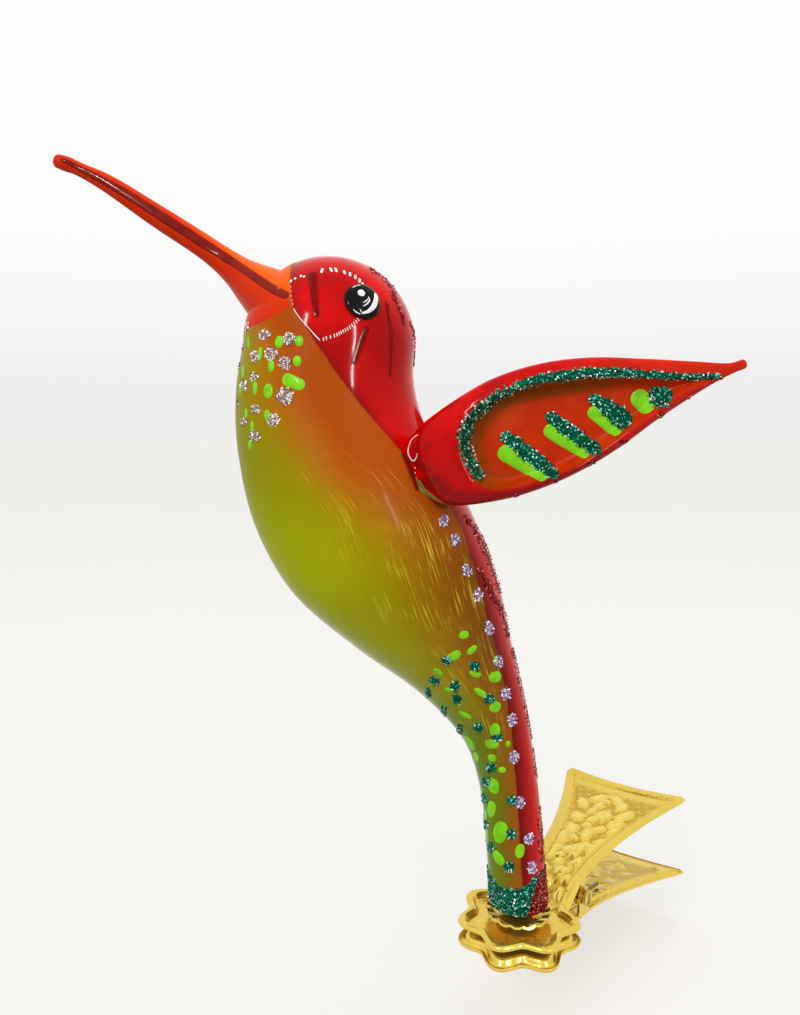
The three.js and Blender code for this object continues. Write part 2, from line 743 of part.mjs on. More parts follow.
function torsionLine() {
  const clear = handleStandOff() - SEAT_GAP - TORSION_WIRE;
  const reach = Math.hypot(TORSION_COIL, TORSION_LEG);
  const spread = Math.asin(clear / reach) - Math.atan(TORSION_COIL / TORSION_LEG);
  const upper = radians(HANDLE_SLOPE) + spread;
  const lower = radians(JAW_PARTED) - upper;
  const from = lower - Math.PI / 2;
  const to = upper + Math.PI / 2 - 2 * Math.PI * TORSION_TURNS;
  const at = (angle, out) => [
    PIN_AT + TORSION_COIL * Math.cos(angle) + out[0],
    PIN_HEIGHT + TORSION_COIL * Math.sin(angle) + out[1],
  ];
  const leg = (direction, length) => [length * Math.cos(direction), length * Math.sin(direction)];
  const points = [];
  const put = (angle, across, out) => {
    const [along, height] = at(angle, out);
    points.push(new THREE.Vector3(along, across, height));
  };
  const width = TORSION_HALF_LENGTH;
  put(from, -width, leg(lower, TORSION_LEG));
  put(from, -width, leg(lower, TORSION_LEG / 2));
  const steps = Math.round((SPRING_STEPS * (from - to)) / (2 * Math.PI));
  for (let i = 0; i <= steps; i++) {
    const share = i / steps;
    put(from + (to - from) * share, width * (2 * share - 1), [0, 0]);
  }
  put(to, width, leg(upper, TORSION_LEG / 2));
  put(to, width, leg(upper, TORSION_LEG));
  return points;
}

function anchorLine() {
  const points = [];
  const steps = SPRING_STEPS * ANCHOR_TURNS;
  for (let i = 0; i <= steps; i++) {
    const angle = (2 * Math.PI * i) / SPRING_STEPS;
    const height = ANCHOR_BOTTOM + (ANCHOR_PITCH * i) / SPRING_STEPS;
    const [x, y] = [ANCHOR_COIL * Math.cos(angle), ANCHOR_COIL * Math.sin(angle)];
    points.push(new THREE.Vector3(x, y, height));
  }
  return points;
}

// Seat: toothed crown and rivet

function seatCrown() {
  const steps = CROWN_TEETH * 3;
  const floor = CROWN_FLOOR;
  const bend = CROWN_FLOOR_RADIUS;
  const rings = [];
  for (let i = 0; i < steps; i++) {
    const angle = (2 * Math.PI * i) / steps;
    const tooth = (1 + Math.cos(CROWN_TEETH * angle)) / 2;
    const edge = CROWN_HEIGHT - TOOTH_HEIGHT * (1 - tooth);
    const section = [
      [RIVET_HOLE, floor],
      [bend, floor],
      [bend + CROWN_RUN, floor + edge / 2],
      [CROWN_RADIUS, floor + edge],
      [CROWN_RADIUS - CROWN_SHEET / 2, floor + edge + CROWN_SHEET],
      [bend + CROWN_RUN / 2, floor + edge / 2 + CROWN_SHEET],
      [bend - CROWN_SHEET / 2, floor + CROWN_SHEET],
      [RIVET_HOLE, floor + CROWN_SHEET],
    ];
    rings.push(
      section.map(
        ([reach, height]) =>
          new THREE.Vector3(reach * Math.cos(angle), reach * Math.sin(angle), height),
      ),
    );
  }
  return ringSkin(rings);
}

// A closed skin over rings that come back to the first one.
function ringSkin(rings) {
  const count = rings[0].length;
  const index = [];
  for (let i = 0; i < rings.length; i++) {
    const here = i * count;
    const there = ((i + 1) % rings.length) * count;
    for (let k = 0; k < count; k++) {
      const next = (k + 1) % count;
      index.push(here + k, here + next, there + next);
      index.push(here + k, there + next, there + k);
    }
  }
  const geometry = new THREE.BufferGeometry().setFromPoints(rings.flat());
  geometry.setIndex(index);
  return facingOut(geometry);
}

function seatRivet() {
  const head = RIVET_HEAD_FLOOR;
  const rivet = lathe([
    [0, 0],
    [RIVET_HEAD, 0],
    [RIVET_HEAD, RIVET_FOOT_THICK],
    [RIVET_SHANK, RIVET_FOOT_THICK],
    [RIVET_SHANK, head],
    [RIVET_HEAD, head],
    [RIVET_HEAD * 0.8, head + RIVET_HEAD_THICK],
    [0, head + RIVET_HEAD_THICK],
  ]);
  rivet.rotateX(Math.PI / 2);
  return rivet;
}

// Assembly

const ornament = new THREE.Group();
const bird = new THREE.Group();
const clip = new THREE.Group();
clip.rotation.z = radians(CLIP_TURN);
ornament.add(bird, clip);

function place(group, name, geometry, look) {
  const mesh = new THREE.Mesh(geometry, look);
  mesh.name = name;
  group.add(mesh);
  return mesh;
}

const leftWing = wing();
const leftEye = eye();
place(bird, "bird_body", bodyShell(), RED_GLASS);
place(bird, "beak", beak(), BEAK_GLASS);
place(bird, "left_wing", leftWing, RED_GLASS);
place(bird, "right_wing", mirrored(leftWing), RED_GLASS);
place(bird, "left_eye", leftEye, EYE_ENAMEL);
place(bird, "right_eye", mirrored(leftEye), EYE_ENAMEL);
place(bird, "anchor_spring", wire(anchorLine(), ANCHOR_WIRE), COPPER);
place(bird, "seat_crown", seatCrown(), BRASS);
place(clip, "seat_rivet", seatRivet(), COPPER);
place(clip, "upper_clip_half", clipHalf(UPPER_EAR_AT, 1, true), BRASS);
place(clip, "hinge_pin", hingePin(), STEEL);
place(clip, "torsion_spring", wire(torsionLine(), TORSION_WIRE), STEEL);

// The lower half is the same stamping turned over about the clip's length, then opened about
// the pin.
const lower = clipHalf(LOWER_EAR_AT, -1, false);
lower.rotateX(Math.PI);
lower.translate(-PIN_AT, 0, -JAW_GAP - PIN_HEIGHT);
const opened = place(clip, "lower_clip_half", lower, BRASS);
opened.position.set(PIN_AT, 0, PIN_HEIGHT);
opened.rotation.y = -radians(JAW_PARTED);

const turn = SPRING_STEPS - 2;
console.log("anchor spring, least gap to itself", leastGap(anchorLine(), ANCHOR_WIRE, turn));
console.log("torsion spring, least gap to itself", leastGap(torsionLine(), TORSION_WIRE, turn));

export default ornament;
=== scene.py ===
import math
from functools import cache

import bmesh
import bpy
import numpy as np
from bpy.props import FloatProperty, FloatVectorProperty, IntProperty, PointerProperty
from mathutils import Matrix, Vector
from mathutils.bvhtree import BVHTree


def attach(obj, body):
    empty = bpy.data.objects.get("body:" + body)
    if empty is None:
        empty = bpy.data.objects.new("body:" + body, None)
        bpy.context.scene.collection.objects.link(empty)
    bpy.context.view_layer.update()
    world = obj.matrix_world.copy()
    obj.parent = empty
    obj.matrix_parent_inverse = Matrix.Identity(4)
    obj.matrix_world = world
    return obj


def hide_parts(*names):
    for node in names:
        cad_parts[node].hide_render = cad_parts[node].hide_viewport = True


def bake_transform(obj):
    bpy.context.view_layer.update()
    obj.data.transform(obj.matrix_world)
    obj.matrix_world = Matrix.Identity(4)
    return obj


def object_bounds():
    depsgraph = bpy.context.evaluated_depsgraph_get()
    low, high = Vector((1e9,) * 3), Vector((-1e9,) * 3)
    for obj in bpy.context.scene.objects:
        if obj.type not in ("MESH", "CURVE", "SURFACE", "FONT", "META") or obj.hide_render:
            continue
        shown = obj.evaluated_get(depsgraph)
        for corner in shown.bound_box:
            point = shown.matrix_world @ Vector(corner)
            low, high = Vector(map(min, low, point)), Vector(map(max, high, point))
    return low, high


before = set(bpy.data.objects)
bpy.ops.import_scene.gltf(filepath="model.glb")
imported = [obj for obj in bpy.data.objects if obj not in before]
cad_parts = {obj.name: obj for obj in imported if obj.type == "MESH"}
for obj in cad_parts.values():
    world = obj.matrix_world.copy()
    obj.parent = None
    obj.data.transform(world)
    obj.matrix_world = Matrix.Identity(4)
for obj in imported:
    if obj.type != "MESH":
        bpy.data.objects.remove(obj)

bl_info = {
    "name": "Clip-on Hummingbird",
    "version": (1, 0, 0),
    "blender": (4, 5, 0),
    "location": "3D View > Sidebar > Ornament",
    "description": "Builds the lacquered glass hummingbird, its glitter and its brass spring clip",
    "category": "Add Mesh",
}

MM = 0.001
CAD_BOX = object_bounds()
BIRD = "bird"
LEFT = -1  # the bird's left side is -Y, the side that the camera sees
SIDES = ((LEFT, "left"), (-LEFT, "right"))
DRAW = np.random.default_rng(20431)
SURFACES = {}  # finished left-hand skins that the paint is laid on


def shade(red, green, blue):
    """An sRGB colour as the linear colour that Blender's sockets take."""
    parts = [value / 255 for value in (red, green, blue)]
    linear = [p / 12.92 if p <= 0.04045 else ((p + 0.055) / 1.055) ** 2.4 for p in parts]
    return tuple(linear)


# Settings


def length(name, default, about):
    """A property in millimetres that is drawn as a plain number."""
    return FloatProperty(name=name, description=about, default=default, min=0, unit="NONE")


def colour(name, default, about):
    """A colour property with an sRGB default."""
    return FloatVectorProperty(
        name=name, description=about, default=shade(*default), size=3, subtype="COLOR", min=0, max=1
    )


class GlassSettings(bpy.types.PropertyGroup):
    sides: IntProperty(name="Sides", description="Faces around the body", default=96, min=16)
    head_rings: IntProperty(name="Head rings", description="Rings over the head", default=18, min=6)
    body_rings: IntProperty(name="Body rings", description="Rings below the head", default=78, min=12)
    wing_sides: IntProperty(name="Wing sides", description="Faces around a wing", default=80, min=16)
    wing_rings: IntProperty(name="Wing rings", description="Rings along a wing", default=110, min=12)
    beak_sides: IntProperty(name="Beak sides", description="Faces around the beak", default=40, min=8)
    panel_depth: FloatProperty(
        name="Panel depth", description="Share of half the wing's thickness that is pressed in",
        default=0.95, min=0, max=1.2, subtype="FACTOR",
    )
    red: colour("Red", (208, 2, 3), "Lacquer of the back and the wings")
    deep_red: colour("Deep red", (168, 0, 2), "Lacquer where it lies thick")
    chest: colour("Chest", (172, 74, 4), "Lacquer beside the red")
    olive: colour("Olive", (142, 142, 2), "Lacquer of the front")
    leaf: colour("Leaf", (104, 134, 4), "Lacquer of the tail's front")
    yellow: colour("Yellow green", (168, 176, 2), "Lacquer of the belly")
    beak: colour("Beak", (210, 48, 3), "Lacquer of the beak")
    beak_top: colour("Beak top", (232, 92, 4), "Lacquer on the top of the beak's foot")
    panel: colour("Panel", (204, 54, 4), "Lacquer in the pressed panel of a wing")


class PaintSettings(bpy.types.PropertyGroup):
    lime: colour("Lime", (132, 214, 30), "Thick lime dabs and bars")
    # the white is laid for the fine enamel lines and also for painted highlights: the eye's glint and the
    # loop at the wing's root
    white: colour("White", (246, 244, 240), "Fine enamel lines")
    black: colour("Black", (9, 9, 11), "Enamel of the eyes")
    rise: length("Rise", 0.16, "Height of a thick dab, in mm")
    thin_rise: length("Thin rise", 0.05, "Height of a thin line, in mm")


class GlitterSettings(bpy.types.PropertyGroup):
    flake: length("Flake", 0.25, "Half width of a flake, in mm")
    spread: FloatProperty(
        name="Flakes per mm2", description="How thickly the flakes are strewn", default=15.0, min=1
    )


class ClipSettings(bpy.types.PropertyGroup):
    sheet: length("Sheet", 0.5, "Thickness of the stamped sheet, in mm")
    brass: colour("Brass", (240, 212, 102), "Bright metal")
    tarnish: colour("Tarnish", (150, 116, 36), "Brown film in the hollows")
    emboss: length("Emboss", 0.72, "Height of the stamped berries, in mm")


class StageSettings(bpy.types.PropertyGroup):
    lens: FloatProperty(name="Lens", description="Focal length in mm", default=28.84, min=1)
    floor: colour("Floor", (146, 145, 143), "Plain pale floor")
    key: FloatProperty(
        name="Key", description="Power of the large lamp", default=2.6, min=0, unit="POWER"
    )
    world: FloatProperty(
        name="Surround", description="Strength of the pale surround", default=0.95, min=0
    )
    glint: FloatProperty(
        name="Glint", description="Power of the window panes in the gloss", default=1.6, min=0,
        unit="POWER",
    )
    glow: FloatProperty(
        name="Floor glow", description="Light that the camera sees on the floor", default=0.56
    )


# Mesh tools


def clear():
    """Leaves nothing selected."""
    bpy.ops.object.select_all(action="DESELECT")


def pick(piece):
    """Selects one piece alone and makes it active."""
    clear()
    piece.select_set(True)
    bpy.context.view_layer.objects.active = piece


def named(piece, name):
    """Gives the piece and its mesh their name."""
    piece.name = name
    piece.data.name = name
    return piece


def edit_all():
    """Opens the active piece for editing with everything selected."""
    bpy.ops.object.mode_set(mode="EDIT")
    bpy.ops.mesh.select_all(action="SELECT")


def finish_skin():
    """Turns all faces outwards and ends the editing."""
    bpy.ops.mesh.select_all(action="SELECT")
    bpy.ops.mesh.normals_make_consistent(inside=False)
    bpy.ops.object.mode_set(mode="OBJECT")


def begin_rings(name, count, fill="NOTHING"):
    """A circle opened for editing, and a layer for each vertex's number in its ring."""
    clear()
    bpy.ops.mesh.primitive_circle_add(vertices=count, radius=MM, fill_type=fill)
    piece = named(bpy.context.object, name)
    bpy.ops.object.mode_set(mode="EDIT")
    bpy.ops.mesh.select_mode(type="VERT")
    form = bmesh.from_edit_mesh(piece.data)
    order = form.verts.layers.int.new("order")
    form.verts.ensure_lookup_table()
    return piece, form, order


def lay_ring(piece, ring):
    """Moves the selected vertices to their places in a ring."""
    form = bmesh.from_edit_mesh(piece.data)
    order = form.verts.layers.int["order"]
    for vertex in form.verts:
        if vertex.select:
            vertex.co = ring[vertex[order]]
    bmesh.update_edit_mesh(piece.data)


def pull_rings(piece, rings):
    """Extrudes the selected loop from ring to ring."""
    for ring in rings:
        bpy.ops.mesh.extrude_edges_move()
        lay_ring(piece, ring)


def ringed(name, rings, looped=False):
    """A skin extruded ring by ring from a circle. Its ends are filled, or joined if it is looped."""
    piece, form, order = begin_rings(name, len(rings[0]))
    for number, vertex in enumerate(form.verts):
        vertex[order] = number
        vertex.select = True
    form.select_flush(True)
    lay_ring(piece, rings[0])
    pull_rings(piece, rings[1:])
    bpy.ops.mesh.select_all(action="DESELECT")
    bpy.ops.mesh.select_non_manifold(
        use_wire=False, use_boundary=True, use_multi_face=False, use_non_contiguous=False,
        use_verts=False,
    )
    if looped:
        bpy.ops.mesh.bridge_edge_loops()
    else:
        bpy.ops.mesh.edge_face_add()
        bpy.ops.mesh.select_all(action="DESELECT")
        form = bmesh.from_edit_mesh(piece.data)
        for face in form.faces:
            face.select = len(face.verts) > 4
        bmesh.update_edit_mesh(piece.data)
        bpy.ops.mesh.poke()
    finish_skin()
    return piece


def open_rings(name, rings):
    """Rings extruded from the first one, whose middle is filled while the outer edge stays open."""
    piece, form, order = begin_rings(name, len(rings[0]), "TRIFAN")
    around = [vertex for vertex in form.verts if vertex.co.length > MM / 2]
    hub = [vertex for vertex in form.verts if vertex.co.length <= MM / 2]
    around.sort(key=lambda vertex: math.atan2(vertex.co.y, vertex.co.x) % (2 * math.pi))
    for number, vertex in enumerate(around):
        vertex[order] = number
        vertex.co = rings[0][number]
    for vertex in hub:
        vertex.co = (0, 0, rings[0][0].z)
        vertex.select = False
    form.select_flush(False)
    for edge in form.edges:
        edge.select = all(vertex in around for vertex in edge.verts)
    bmesh.update_edit_mesh(piece.data)
    pull_rings(piece, rings[1:])
    finish_skin()
    return piece


def laid(name, rows, columns, place):
    """A grid sheet whose vertices are laid where place(share along, share across) says."""
    clear()
    bpy.ops.mesh.primitive_grid_add(x_subdivisions=rows, y_subdivisions=columns, size=1)
    piece = named(bpy.context.object, name)
    for vertex in piece.data.vertices:
        vertex.co = place(vertex.co.x + 0.5, vertex.co.y + 0.5)
    return piece


def thicken(piece, thickness):
    """Gives a sheet its thickness, half of it on each side."""
    pick(piece)
    wall = piece.modifiers.new("wall", "SOLIDIFY")
    wall.thickness = thickness
    wall.offset = 0
    wall.use_even_offset = False
    bpy.ops.object.modifier_apply(modifier=wall.name)


def soften(piece, angle):
    """Shades the piece smooth, but for edges sharper than the angle in degrees."""
    pick(piece)
    bpy.ops.object.shade_smooth_by_angle(angle=math.radians(angle))


def tidy_faces(piece, smooth_angle):
    """Joins doubled vertices, turns the faces outwards and softens them."""
    pick(piece)
    edit_all()
    bpy.ops.mesh.remove_doubles(threshold=0.002 * MM)
    finish_skin()
    soften(piece, smooth_angle)


def join(pieces, name):
    """Makes one piece of several."""
    clear()
    for piece in pieces:
        piece.select_set(True)
    bpy.context.view_layer.objects.active = pieces[0]
    bpy.ops.object.join()
    return named(bpy.context.object, name)


def moved(piece, matrix):
    """Puts the piece in its place and keeps that place in its mesh."""
    pick(piece)
    piece.matrix_world = matrix @ piece.matrix_world
    bpy.ops.object.transform_apply(location=True, rotation=True, scale=True)
    return piece


def dress(piece, material, body=BIRD, replaces=()):
    """Gives a piece its material, the solids it stands for and the body it rides."""
    piece.data.materials.append(material)
    if replaces:
        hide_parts(*replaces)
    if body:
        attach(piece, body)


def skin_of(*names):
    """The skins of finished pieces, as one surface to lay paint on."""
    points, faces = [], []
    for name in names:
        first = len(points)
        data = bpy.data.objects[name].data
        points += [vertex.co.copy() for vertex in data.vertices]
        faces += [tuple(first + corner for corner in face.vertices) for face in data.polygons]
    return BVHTree.FromPolygons(points, faces)


def turns_of(count):
    """Angles evenly round a ring."""
    return [2 * math.pi * k / count for k in range(count)]


def spline(points, share):
    """A smooth curve through rows of numbers, run evenly from row to row."""
    last = len(points) - 1
    place = min(max(share, 0), 1) * last
    low = min(int(place), last - 1)
    t = place - low
    a, b = points[max(low - 1, 0)], points[low]
    c, d = points[low + 1], points[min(low + 2, last)]
    out = []
    for p, q, r, s in zip(a, b, c, d):
        v, w = (r - p) / 2, (s - q) / 2
        out.append(((2 * q - 2 * r + v + w) * t + (3 * r - 3 * q - 2 * v - w)) * t * t + v * t + q)
    return out


def smoothstep(value, low, high):
    """0 below low, 1 above high, smooth between."""
    share = np.clip((np.asarray(value, float) - low) / (high - low), 0, 1)
    return share * share * (3 - 2 * share)


def mixed(rows, share):
    """The value at a share of the way along evenly spaced rows."""
    return float(np.interp(share * (len(rows) - 1), range(len(rows)), rows))


# Material tools


def feed(tree, made, inputs):
    """Links a node's inputs to sockets, or sets them to values."""
    for key, value in inputs.items():
        if isinstance(value, bpy.types.NodeSocket):
            tree.links.new(value, made.inputs[key])
        else:
            made.inputs[key].default_value = value
    return made


def add(tree, kind, inputs=None, **settings):
    """A new node with its settings and inputs."""
    made = tree.nodes.new(kind)
    for key, value in settings.items():
        setattr(made, key, value)
    return feed(tree, made, inputs or {})


def calc(tree, operation, *values):
    """The result of a sum on values and sockets."""
    return add(tree, "ShaderNodeMath", dict(enumerate(values)), operation=operation).outputs[0]


def times(tree, *values):
    """All the values multiplied together."""
    result = values[0]
    for value in values[1:]:
        result = calc(tree, "MULTIPLY", result, value)
    return result


def scaled(tree, value, factor, offset):
    return calc(tree, "MULTIPLY_ADD", value, factor, offset)


def map_range(tree, value, low, high, to_low=0.0, to_high=1.0, shape="LINEAR"):
    """The value's place between low and high, laid out between to_low and to_high."""
    ends = {"From Min": low, "From Max": high, "To Min": to_low, "To Max": to_high}
    made = add(tree, "ShaderNodeMapRange", {"Value": value, **ends}, interpolation_type=shape)
    return made.outputs[0]


def fade(tree, value, low, high):
    """0 below low, 1 above high, smooth between."""
    return map_range(tree, value, low, high, shape="SMOOTHSTEP")


def fall(tree, value, low, high):
    """1 below low, 0 above high, smooth between."""
    return calc(tree, "SUBTRACT", 1.0, fade(tree, value, low, high))


def axes(tree, place):
    """X, Y and Z of a place."""
    return add(tree, "ShaderNodeSeparateXYZ", {0: place}).outputs


def attribute(tree, name):
    """A value that the mesh keeps for each of its vertices."""
    return add(tree, "ShaderNodeAttribute", attribute_name=name).outputs["Fac"]


def opaque(rgb):
    return (*rgb, 1)


def blend_colour(tree, share, first, second):
    """A colour between two others, each a socket or red, green and blue."""
    first, second = (
        value if isinstance(value, bpy.types.NodeSocket) else opaque(value)
        for value in (first, second)
    )
    sockets = {0: share, 6: first, 7: second}  # of the node's many, those that mix colours
    return add(tree, "ShaderNodeMix", sockets, data_type="RGBA").outputs[2]


def ramp(tree, value, stops):
    """The colour that a row of (share, colour) stops has at the value."""
    made = add(tree, "ShaderNodeValToRGB", {"Fac": value})
    line = made.color_ramp.elements
    while len(line) < len(stops):
        line.new(0.5)
    for element, (place, rgb) in zip(line, stops):
        element.position = place
        element.color = opaque(rgb)
    return made.outputs[0]


def curve_over(tree, value, spots, handle="AUTO"):
    """The height at the value of a curve through spots; both run from 0 to 1."""
    made = add(tree, "ShaderNodeFloatCurve", {"Value": value})
    curve = made.mapping.curves[0]
    curve.points[0].location, curve.points[-1].location = spots[0], spots[-1]
    for spot in spots[1:-1]:
        curve.points.new(*spot)
    for point in curve.points:
        point.handle_type = handle
    made.mapping.update()
    return made.outputs[0]


def new_material(name):
    """A material with a Principled shader; returns material, tree, shader and Object coordinates."""
    material = bpy.data.materials.new(name)
    material.use_nodes = True
    tree = material.node_tree
    shader = tree.nodes["Principled BSDF"]
    shader.inputs["Specular IOR Level"].default_value = 0.04
    place = add(tree, "ShaderNodeTexCoord").outputs["Object"]
    return material, tree, shader, place


def group(name, inputs, outputs):
    """A new node group: its tree, what it is given and what it puts out."""
    tree = bpy.data.node_groups.new(name, "ShaderNodeTree")
    for label, kind, value in inputs:
        socket = tree.interface.new_socket(label, in_out="INPUT", socket_type=f"NodeSocket{kind}")
        if value is not None:
            socket.default_value = value
    for label, kind in outputs:
        tree.interface.new_socket(label, in_out="OUTPUT", socket_type=f"NodeSocket{kind}")
    return tree, add(tree, "NodeGroupInput").outputs, add(tree, "NodeGroupOutput")


def noise(tree, place, scale, detail=3.0, rough=0.5):
    inputs = {"Vector": place, "Scale": scale, "Detail": detail, "Roughness": rough}
    return add(tree, "ShaderNodeTexNoise", inputs).outputs["Fac"]


def stretched(tree, place, scale):
    return add(tree, "ShaderNodeMapping", {"Vector": place, "Scale": scale}).outputs[0]


def lacquer_clouds():
    """Colour that drifts between two lacquers, with the slow waves of blown glass as height."""
    tree, given, out = group(
        "lacquer clouds",
        [("Vector", "Vector", None), ("Thin", "Color", None), ("Thick", "Color", None),
         ("Scale", "Float", 60.0)],
        [("Color", "Color"), ("Height", "Float")],
    )
    drift = noise(tree, given["Vector"], given["Scale"], 2.0)
    share = fade(tree, drift, 0.42, 0.72)
    feed(tree, out, {
        "Color": blend_colour(tree, share, given["Thin"], given["Thick"]),
        "Height": noise(tree, given["Vector"], 45.0, 1.0),
    })
    return tree


def brush_streaks():
    """Fine scratches that run along one direction, as a mask."""
    tree, given, out = group(
        "brush streaks",
        [("Vector", "Vector", None), ("Fine", "Float", 1500.0), ("Share", "Float", 0.6)],
        [("Mask", "Float")],
    )
    long_grain = stretched(tree, given["Vector"], (1.0, 1.0, 0.055))
    grain = noise(tree, long_grain, given["Fine"], 2.0, 0.6)
    lines = map_range(tree, grain, given["Share"], calc(tree, "ADD", given["Share"], 0.07))
    patch = fade(tree, noise(tree, given["Vector"], 160.0, 2.0), 0.42, 0.6)
    feed(tree, out, {"Mask": times(tree, lines, patch)})
    return tree


def patina():
    """A brown film in clouds and specks on stamped metal, as a mask, with the sheet's fine height."""
    tree, given, out = group(
        "patina",
        [("Vector", "Vector", None), ("Scale", "Float", 110.0), ("Amount", "Float", 0.5)],
        [("Mask", "Float"), ("Height", "Float")],
    )
    film = noise(tree, given["Vector"], given["Scale"], 5.0, 0.62)
    start = calc(tree, "SUBTRACT", 0.86, times(tree, given["Amount"], 0.4))
    film = fade(tree, film, start, calc(tree, "ADD", start, 0.16))
    specks = fade(tree, noise(tree, given["Vector"], 900.0, 2.0), 0.69, 0.75)
    feed(tree, out, {
        "Mask": calc(tree, "MAXIMUM", film, times(tree, specks, 0.7)),
        "Height": noise(tree, given["Vector"], 420.0, 4.0),
    })
    return tree


GROUPS = {}  # node trees that are made already, by the function that makes them


def use_group(tree, builder, **inputs):
    """The outputs of a node group, which is made when it is first used."""
    if builder not in GROUPS:
        GROUPS[builder] = builder()
    return add(tree, "ShaderNodeGroup", inputs, node_tree=GROUPS[builder]).outputs


def clouds(tree, place, thin, thick, scale):
    inputs = {"Vector": place, "Thin": opaque(thin), "Thick": opaque(thick), "Scale": scale}
    return use_group(tree, lacquer_clouds, **inputs)


def raise_surface(tree, shader, height, distance, strength):
    """Bumps of a distance in metres in the shader's surface."""
    inputs = {"Height": height, "Distance": distance, "Strength": strength}
    feed(tree, shader, {"Normal": add(tree, "ShaderNodeBump", inputs).outputs[0]})


# Body: lines repeated from the frame's model, in mm

HEAD_RADIUS = 15.9
HEAD_HEIGHT = 112.8
HEAD_CENTRE = (-36.5, HEAD_HEIGHT)
TAIL_FOOT = 4.6
TAIL_RADIUS = 5.7
FRONT_LINE = [
    (-53.9, 103.6), (-53.6, 92.5), (-50.6, 79.0), (-43.6, 66.3), (-32.0, 55.9),
    (-20.2, 47.2), (-11.6, 38.0), (-7.9, 28.0), (-6.5, 16.0),
]
BACK_LINE = [
    (-20.8, 106.0), (-18.6, 97.5), (-13.8, 88.8), (-9.4, 80.6), (-5.0, 69.5),
    (-1.9, 56.0), (0.9, 44.0), (3.2, 30.0), (4.7, 16.0),
]
ROUNDNESS = [0.86, 0.86, 0.88, 0.9, 0.91, 0.92, 0.94, 0.97, 1.0, 1.0, 1.0]
# Height, and how far ahead of the red its colours have turned to green
FRONT_ROOM = [
    (0, 9), (30, 9), (45, 14), (55, 22), (70, 28), (86, 28), (100, 24), (112, 15), (130, 13),
]
FULL_ROOM = 40  # the most that the curve through them can give
# The tail's drawn-in foot and its bore: radius and height
MOUTH = [
    (5.55, 4.58), (5.2, 4.52), (4.7, 4.54), (4.25, 4.75), (4.0, 5.3), (4.05, 6.2), (4.7, 7.6),
    (4.7, 16),
]
# Edge between the red back and the coloured front, as places in the photograph's frame
RED_EDGE = [
    (292, 300), (306, 327), (325, 356), (345, 385), (372, 418), (400, 450), (430, 484), (455, 515),
    (469, 552), (480, 590), (493, 640), (505, 690), (512, 740), (517, 800), (521, 860), (523, 905),
]
# Lower and hinder edge of the beak's lacquer on the head
FOOT_EDGE = [(254, 327), (274, 317), (290, 306), (290, 290), (289, 273)]
# Upper edge of the glitter band round the tail's foot: turn from the front, height
BAND_TOP = [(0, 11.6), (50, 9.8), (90, 10.4), (122, 12.6), (180, 12.4)]
BAND_FULL = 20  # the most that the curve through them can give
# The band turns red this many degrees from the front, and SPLIT_LEAN more at SPLIT_RISE mm up
SPLIT_FROM, SPLIT_LEAN, SPLIT_RISE = 98, 26, 7.5
# Edges on the body are curves from a height to a place along X, within these ends, in metres
LOW, HIGH = 0.0, 0.13
FAR_LEFT, WIDTH = -0.065, 0.085


def body_rings(sizes):
    """Rings of points from the crown of the head down to the foot and up into the bore."""
    angles = turns_of(sizes.sides)
    rings = []

    def ring(front, back, roundness):
        middle = [(f + b) / 2 for f, b in zip(front, back)]
        half = [(b - f) / 2 for f, b in zip(front, back)]
        depth = math.hypot(*half)
        rings.append([
            Vector((
                middle[0] + half[0] * math.cos(a),
                depth * roundness * math.sin(a),
                middle[1] + half[1] * math.cos(a),
            )) * MM
            for a in angles
        ])

    x, z = HEAD_CENTRE
    for number in range(sizes.head_rings + 1):
        angle = math.pi / 2 * max(number, 0.25) / sizes.head_rings
        reach, level = HEAD_RADIUS * math.sin(angle), z + HEAD_RADIUS * math.cos(angle)
        ring((x - reach, level), (x + reach, level), ROUNDNESS[0])
    front = [(x - HEAD_RADIUS, z), *FRONT_LINE, (-TAIL_RADIUS, TAIL_FOOT)]
    back = [(x + HEAD_RADIUS, z), *BACK_LINE, (TAIL_RADIUS, TAIL_FOOT)]
    for number in range(1, sizes.body_rings + 1):
        share = number / sizes.body_rings
        ring(spline(front, share), spline(back, share), mixed(ROUNDNESS, share))
    for radius, level in MOUTH:
        ring((-radius, level), (radius, level), 1)
    return rings


def on_body(edge):
    """Heights and places along X of an edge in the photograph's frame, from the foot upwards."""
    return sorted((spot.z, spot.x) for spot in (on_skin("body", *place)[0] for place in edge))


def edge_at(tree, level, spots, handle="AUTO"):
    """The place along X of an edge, given as heights and places, at a height."""
    rows = [((height - LOW) / (HIGH - LOW), (at - FAR_LEFT) / WIDTH) for height, at in spots]
    return scaled(tree, curve_over(tree, level, rows, handle), WIDTH, FAR_LEFT)


def beak_colour(tree, place, glass):
    """Orange red, brighter on the top of the foot."""
    x, _, z = axes(tree, place)
    # height over the beak's middle line, along which it slopes
    over = calc(tree, "SUBTRACT", z, scaled(tree, x, -0.69, 0.0886))
    top = times(tree, fade(tree, over, 0.0, 0.004), fade(tree, x, -0.066, -0.052))
    cloud = clouds(tree, place, glass.beak, shade(204, 42, 3), 120.0)
    return blend_colour(tree, top, cloud["Color"], glass.beak_top)


